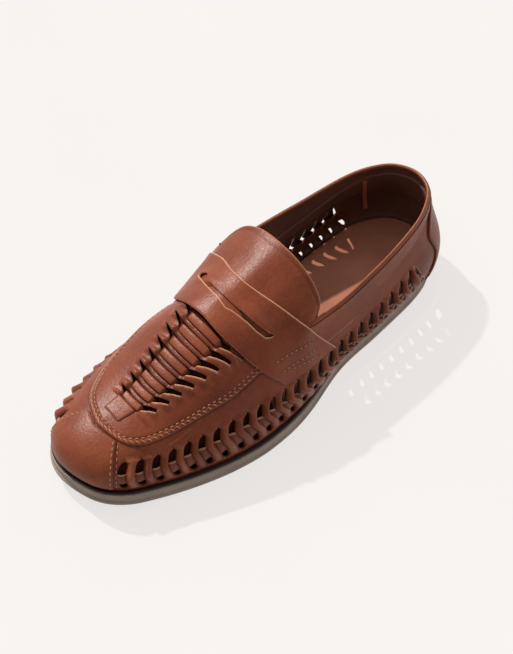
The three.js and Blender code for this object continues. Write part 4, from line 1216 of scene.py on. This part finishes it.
# The strap's half behind the slot or in front of it, whole beside the slot's ends
def strap_sheet(in_front, shares):
    across = np.concatenate([
        np.linspace(1, 0.62, 20)[:-1], np.linspace(0.62, -0.49, 112)[:-1], np.linspace(-0.49, -1, 26)])
    slot_from, slot_to = [np.interp(across, *np.transpose(SLOT_ROWS)[[0, edge]]) for edge in (1, 2)]
    start = slot_to if in_front else np.zeros_like(across)
    end = np.ones_like(across) if in_front else slot_from
    step = mix(start[None], end[None], shares[:, None])
    wide = across[None] * np.ones_like(step)
    face = strap_face(wide, step)
    nudge = 0.02
    by_across = strap_face(wide - nudge, step) - strap_face(wide + nudge, step)
    by_step = strap_face(wide, np.minimum(step + nudge, 1)) - strap_face(wide, np.maximum(step - nudge, 0))
    normal = unit(np.cross(by_step, by_across))
    normal *= np.sign(normal[len(normal) // 2, len(across) // 2, 2])
    to_edge = np.minimum(step, 1 - step) * STRAP["width"]
    high = face - normal * (STRAP["edgeFall"] * (1 - smooth(to_edge / 0.9)))[..., None]
    cut = bell(step * STRAP["width"], 0.55)
    if in_front:
        cut = bell((step - start[None]) * STRAP["width"], 0.5) * (slot_to > slot_from + 0.02)[None]
    shade = -cut
    # painted shade in the grooves along the rows of stitches
    for across_a, step_a, across_b, step_b in STRAP_STITCHES:
        run = np.clip((step - step_a) / (step_b - step_a), 0, 1)
        beside = (abs(wide) - mix(across_a, across_b, run)) * STRAP["halfLength"]
        beyond = (step - mix(step_a, step_b, run)) * STRAP["width"]
        shade = shade + 0.55 * bell(np.hypot(beside, beyond), 0.8)
    return high, face - normal * STRAP["thickness"], None, shade


back_shares = np.concatenate([[0, 0.02, 0.05], np.linspace(0.1, 0.93, 14), [0.97, 1]])
front_shares = np.concatenate([[0, 0.03, 0.07], np.linspace(0.12, 0.9, 14), [0.95, 0.98, 1]])
strap = thicken([strap_sheet(False, back_shares), strap_sheet(True, front_shares)], 0.12)
make_piece("saddle_strap", strap, [calf_leather, cut_edge, calf_leather], ["saddle_strap"])

# Strap stitching: the same thread, three rows of running stitches that fix each foot of the strap to the
# quarter
lines = []
nudge = 0.02
for side in SIDES:
    for across_a, step_a, across_b, step_b in STRAP_STITCHES:
        run = np.linspace(0, 1, 60)
        across = side * mix(across_a, across_b, run)
        step = mix(step_a, step_b, run)
        line = strap_face(across, step)
        forward = strap_face(across, step + nudge) - line
        down = strap_face(across + side * nudge, step) - line
        up = unit(np.cross(forward, down))
        lines.append((line, up * np.sign(up[:, 1:2]) * side))
sew("strap_stitching", lines)

# Tongue: a broad flap of calf lined in the same leather, sewn in under the vamp and the strap, standing free
# at its back edge
TONGUE = {
    "thickness": 2.2, "under": 2.6, "outerUnder": 2.2, "root": 0.32, "inner": -0.66, "outer": 0.78,
    "curl": 1.5, "bead": 0.25, "groove": 0.3, "grooveAt": 3,
}
# Corners of its free edge, even from the inner side to the outer side, where it drops inside the collar
TONGUE_FREE = [
    [143, -37, 70], [135, -34, 76.5], [132.2, -27.5, 83.5], [131.5, -18, 88.5], [132, -8, 91], [133, 3, 91.8],
    [133, 13, 89.8], [132.5, 22.5, 84.5], [132, 30, 76.5], [133, 35.8, 67.5], [137.6, 37.2, 57.5],
]
tongue_share = np.linspace(1, 0, 101)
tongue_across = mix(TONGUE["inner"], TONGUE["outer"], tongue_share)
free_edge = corner_curve(TONGUE_FREE, tongue_share)


def under_strap(step):
    below = strap_face(tongue_across, np.full(tongue_across.shape, step)) - [0, 0, TONGUE["under"]]
    below[:, 1] -= TONGUE["outerUnder"] * smooth((tongue_share - 0.7) / 0.3)
    return below


throat = under_strap(0.0)
root = under_strap(TONGUE["root"])
leave = throat + unit(throat - root) * np.linalg.norm(free_edge - throat, axis=1, keepdims=True) / 3
arrive = mix(free_edge, throat, 1 / 3)
arrive[:, 2] += TONGUE["curl"]
tongue_rows = [root, mix(root, throat, 0.35), mix(root, throat, 0.7)]
for share in np.concatenate([np.linspace(0, 0.9, 24), [0.93, 0.96, 0.98, 0.993, 1]]):
    tongue_rows.append(handle_curve(throat, leave, arrive, free_edge, share))
face = np.array(tongue_rows)[::-1]
normal = unit(np.cross(np.gradient(face, axis=1), np.gradient(face, axis=0)))
normal *= np.sign(normal[10:11, 50:51, 2:3])
to_free = np.linalg.norm(face - face[:1], axis=2)
bead = TONGUE["bead"] * bell(to_free - 1, 0.9) - TONGUE["groove"] * bell(to_free - TONGUE["grooveAt"], 0.6)
# painted shade in the groove behind the bead; the free edge takes the light tan of the raw cut edge
shade = 0.35 * bell(to_free - TONGUE["grooveAt"], 0.7) - 0.5 * bell(to_free, 0.45)
sheet = (face + normal * bead[..., None], face - normal * TONGUE["thickness"], None, shade)
make_piece("tongue", thicken([sheet], 0.4), [calf_leather, calf_leather, lining_leather],
           ["tongue"])

# Collar binding: a narrow strip of calf folded over the top edge of the quarters and stitched, so that it
# stands as a soft roll around the foot opening
BINDING = {
    "radius": 1.7, "flat": 0.72, "overlap": 0.5, "endAlong": 6, "taper": 0.3, "sides": 18, "fold": 0.05,
}
run = np.linspace(-BINDING["endAlong"], BINDING["endAlong"], 241)
side = np.where(run < 0, -1.0, 1.0)
along = abs(run)
edge = skin(side, along, np.ones_like(along))
outward = unit(skin_normal(side, along, np.ones_like(along)) * [1, 1, 0])
turn = np.linspace(0, 2 * np.pi, BINDING["sides"] + 1)[:-1]
to_end = smooth((BINDING["endAlong"] - along) / BINDING["taper"])
radius = BINDING["radius"] * mix(0.4, 1, to_end)[:, None] * (1 + BINDING["fold"] * np.cos(3 * turn))
centre = edge - outward * WALL / 2
centre[:, 2] += BINDING["radius"] * mix(0.4, 1, to_end) - BINDING["overlap"]
tube = centre[:, None] + outward[:, None] * (BINDING["flat"] * radius * np.cos(turn))[..., None]
tube[..., 2] += radius * np.sin(turn)
count = len(run) * BINDING["sides"]
number = np.arange(count).reshape(len(run), BINDING["sides"])
ahead = np.roll(number, -1, 1)
first_tip = np.full(BINDING["sides"], count)
last_tip = first_tip + 1
faces = np.concatenate([
    np.stack([number[:-1], ahead[:-1], ahead[1:], number[1:]], -1).reshape(-1, 4),
    np.stack([number[0], first_tip, first_tip, ahead[0]], -1),
    np.stack([ahead[-1], last_tip, last_tip, number[-1]], -1),
])
# painted shade on the roll's underside and at its two ends, and a painted highlight in raw tan along its
# inner top
painted_fold_shade_and_highlight = 0.7 * smooth((-np.sin(turn) - 0.3) / 0.5) - 0.3 * bell(turn - 2.1, 0.35)
shade = np.append(np.tile(painted_fold_shade_and_highlight, len(run)), [0.7, 0.7])
vertices = np.column_stack([np.concatenate([tube.reshape(-1, 3), centre[:1], centre[-1:]]), shade])
make_piece("collar_binding", (vertices, faces), [calf_leather], ["collar_binding"], 60)

# Welt: a dark rubber strip cemented between upper and sole, which shows as a thin dark line all around
# under the upper. A row of its profile gives the height share and the inset of a ring, lowest first.
SOLE_EDGE = {"heelOuter": -1.5, "heelInner": 1.2, "forefoot": 3.5, "from": 95, "over": 85, "turn": 15}
WELT = {"thickness": 1.4, "lip": -1.2, "innermost": -0.9, "seat": 0.27}
WELT_PROFILE = [(0, 0.7), (0.08, 0.25), (0.25, 0), (0.75, 0), (0.93, 0.25), (1, 0.8)]


def sole_edge(x, y):
    to_outer = smooth((y - rib("topY", 0)) / (2 * SOLE_EDGE["turn"]) + 0.5)
    heel = mix(SOLE_EDGE["heelInner"], SOLE_EDGE["heelOuter"], to_outer)
    return mix(heel, SOLE_EDGE["forefoot"], smooth((x - SOLE_EDGE["from"]) / SOLE_EDGE["over"]))


def welt_edge(x, y):
    return np.maximum(sole_edge(x, y) + WELT["lip"], WELT["innermost"])


# A plate from a side profile between two heights
def plate(profile, bottom, top, outset, count=150):
    rings = []
    for height, inset in profile:
        outer, inner = outline(lambda x, y: outset(x, y) - inset, count)
        flat = np.concatenate([outer, inner[-2:0:-1]])
        level = mix(bottom(flat[:, 0]), top(flat[:, 0]), height)
        rings.append(np.column_stack([flat, level]))
    around = len(rings[0])
    number = np.arange(len(rings) * around).reshape(len(rings), around)
    ahead = np.roll(number, -1, 1)
    faces = [np.stack([number[:-1], number[1:], ahead[1:], ahead[:-1]], -1).reshape(-1, 4)]
    station = np.arange(count)
    mirror = (around - station) % around
    for ring, turned in ((0, False), (len(rings) - 1, True)):
        strip = np.stack([station, station + 1, (around - station - 1) % around, mirror], -1) + ring * around
        faces.append(strip[:, ::-1] if turned else strip)
    return np.concatenate(rings), np.concatenate(faces)


# Extruded rubber: dyed dark brown through and through, satin from the die, with no grain to speak of
welt_rubber, tree, _, dust, tone = clouded_material(
    "extruded_brown_rubber", 2, 3, 0.6, [(0.3, "#1C0E09"), (0.75, "#2A1710")])
dust_bump = add_node(tree, "ShaderNodeBump", {"Height": dust, "Strength": 0.1, "Distance": 0.0003})
shader = add_node(tree, "ShaderNodeBsdfPrincipled", {
    "Base Color": tone, "Normal": dust_bump.outputs["Normal"], "Roughness": 0.55, "IOR": 1.5,
    "Specular IOR Level": 0.25})
add_node(tree, "ShaderNodeOutputMaterial", {"Surface": shader.outputs["BSDF"]})

welt = plate(WELT_PROFILE, lambda x: sole_top(x) - WELT["thickness"], lambda x: sole_top(x) + WELT["seat"],
             welt_edge)
make_piece("welt", welt, [welt_rubber], ["welt"])

# Outsole: one moulding of taupe rubber, thicker at the heel than at the forefoot, cemented under the welt. It
# has a lip around its foot, a shallow arch below and a toe spring.
ARCH = {"from": 88, "to": 160, "height": 1.8}
SOLE_CLEARANCE = 0.06
SOLE_PROFILE = [
    (0, 1.8), (0.03, 0.7), (0.1, 0.05), (0.2, 0), (0.27, 0.1), (0.31, 0.6), (0.36, 0.9), (0.6, 0.8),
    (0.9, 0.6), (0.97, 0.75), (1, 1.1),
]

# Moulded rubber: taupe, matt from the tool, with soft clouds of tone. Its sandy speckle of about 0.3 mm is
# drawn at 0.8 mm so that it shows.
sole_rubber, tree, place, _, tone = clouded_material(
    "moulded_taupe_rubber", 16.7, 4, 0.55, [(0.3, "#78685C"), (0.72, "#8A7A6D")])
sand = add_node(tree, "ShaderNodeTexNoise", {
    "Vector": place, "Scale": scale_of(0.769), "Detail": 2, "Roughness": 0.6})
speck = add_node(tree, "ShaderNodeMapRange", {
    "Value": sand.outputs["Fac"], "From Min": 0.3, "From Max": 0.7, "To Min": 0.92, "To Max": 1.06})
toned = add_node(tree, "ShaderNodeVectorMath", {0: tone, 1: speck.outputs["Result"]}, operation="MULTIPLY")
sand_bump = add_node(tree, "ShaderNodeBump", {
    "Height": sand.outputs["Fac"], "Strength": 0.2, "Distance": 0.0003})
shader = add_node(tree, "ShaderNodeBsdfPrincipled", {
    "Base Color": toned.outputs["Vector"], "Normal": sand_bump.outputs["Normal"], "Roughness": 0.66,
    "IOR": 1.52})
add_node(tree, "ShaderNodeOutputMaterial", {"Surface": shader.outputs["BSDF"]})


def sole_bottom(x):
    in_arch = np.clip((x - ARCH["from"]) / (ARCH["to"] - ARCH["from"]), 0, 1)
    return toe_spring(x) + ARCH["height"] * np.sin(np.pi * in_arch) ** 2


outsole = plate(SOLE_PROFILE, sole_bottom, lambda x: sole_top(x) - WELT["thickness"] - SOLE_CLEARANCE,
                sole_edge)
make_piece("outsole", outsole, [sole_rubber], ["outsole"])

# Floor: a sweep of matt off-white paper that the shoe stands on, with a faint glow of its own so that
# shadows stay as pale as on a lit table
FLOOR_REACH = 3
floor_paper, tree, _, _, tone = clouded_material(
    "matt_white_paper", 166.7, 2, 0.5, [(0.3, "#605F5E"), (0.7, "#636261")])
shader = add_node(tree, "ShaderNodeBsdfPrincipled", {
    "Base Color": tone, "Roughness": 0.9, "IOR": 1.3, "Specular IOR Level": 0,
    "Emission Color": linear("#FFFBF8"), "Emission Strength": 0.735})
add_node(tree, "ShaderNodeOutputMaterial", {"Surface": shader.outputs["BSDF"]})
floor_mesh = bpy.data.meshes.new("floor")
floor_corners = [(x * FLOOR_REACH, y * FLOOR_REACH, 0) for x, y in ((-1, -1), (1, -1), (1, 1), (-1, 1))]
floor_mesh.from_pydata(floor_corners, [], [(0, 1, 2, 3)])
floor_mesh.materials.append(floor_paper)
floor = bpy.data.objects.new("floor", floor_mesh)
bpy.context.scene.collection.objects.link(floor)
floor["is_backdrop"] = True

# Light: a broad pale studio all around, brighter overhead and on the inner side, one small key lamp there
# that draws the soft shadow to the outer side, and a weak broad fill from behind the heel. A row gives a
# lamp's name, where it stands, its strength, its breadth in degrees and its colour.
KEY_FROM = unit(np.array([0, -0.66, 0.75]))
LAMPS = [
    ("key", KEY_FROM, 4.2, 1.8, "#FFFBF6"),
    ("fill", (-0.85, 0.45, 0.25), 0.6, 30, "#FFFDFA"),
]
world = bpy.data.worlds.new("studio")
bpy.context.scene.world = world
world.use_nodes = True
tree = world.node_tree
tree.nodes.clear()
direction = add_node(tree, "ShaderNodeTexCoord")
toward = add_node(tree, "ShaderNodeVectorMath", {0: direction.outputs["Generated"], 1: KEY_FROM.tolist()},
                  operation="DOT_PRODUCT")
glow = add_node(tree, "ShaderNodeMapRange", {
    "Value": toward.outputs["Value"], "From Min": 0, "From Max": 1, "To Min": 0.34, "To Max": 0.95},
    interpolation_type="SMOOTHSTEP")
background = add_node(tree, "ShaderNodeBackground", {
    "Color": linear("#FCFDFF"), "Strength": glow.outputs["Result"]})
add_node(tree, "ShaderNodeOutputWorld", {"Surface": background.outputs["Background"]})
for name, source, energy, breadth, colour in LAMPS:
    lamp_data = bpy.data.lights.new(name, "SUN")
    lamp_data.energy = energy
    lamp_data.angle = math.radians(breadth)
    lamp_data.color = linear(colour)[:3]
    lamp = bpy.data.objects.new(name, lamp_data)
    bpy.context.scene.collection.objects.link(lamp)
    lamp.rotation_mode = "QUATERNION"
    lamp.rotation_quaternion = Vector(source).to_track_quat("Z", "Y")
bpy.context.scene.view_settings.view_transform = "Standard"

# Camera: a long lens above the toe's outer side, turned to the photograph's angle. Its focal length is in
# pixels of a picture as high as the photograph, its distance and target in millimetres.
VIEW = {"elevation": 48.446, "azimuth": 46.489, "distance": 1101.65, "focal": 1840.18, "pictureHeight": 654}
VIEW_TARGET = np.array([150, 0, 30])
SENSOR = 36
elevation = math.radians(VIEW["elevation"])
azimuth = math.radians(VIEW["azimuth"])
back = np.array([
    math.cos(azimuth) * math.cos(elevation), math.sin(azimuth) * math.cos(elevation), math.sin(elevation)])
camera_data = bpy.data.cameras.new("camera")
camera_data.sensor_width = SENSOR
camera_data.lens = SENSOR * VIEW["focal"] / VIEW["pictureHeight"]
camera_data.clip_start = 0.05
camera = bpy.data.objects.new("camera", camera_data)
bpy.context.scene.collection.objects.link(camera)
camera.location = (VIEW_TARGET + LAST_PLACE + back * VIEW["distance"]) / 1000
camera.rotation_mode = "QUATERNION"
camera.rotation_quaternion = Vector(back).to_track_quat("Z", "Y")
bpy.context.scene.camera = camera

low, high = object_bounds()
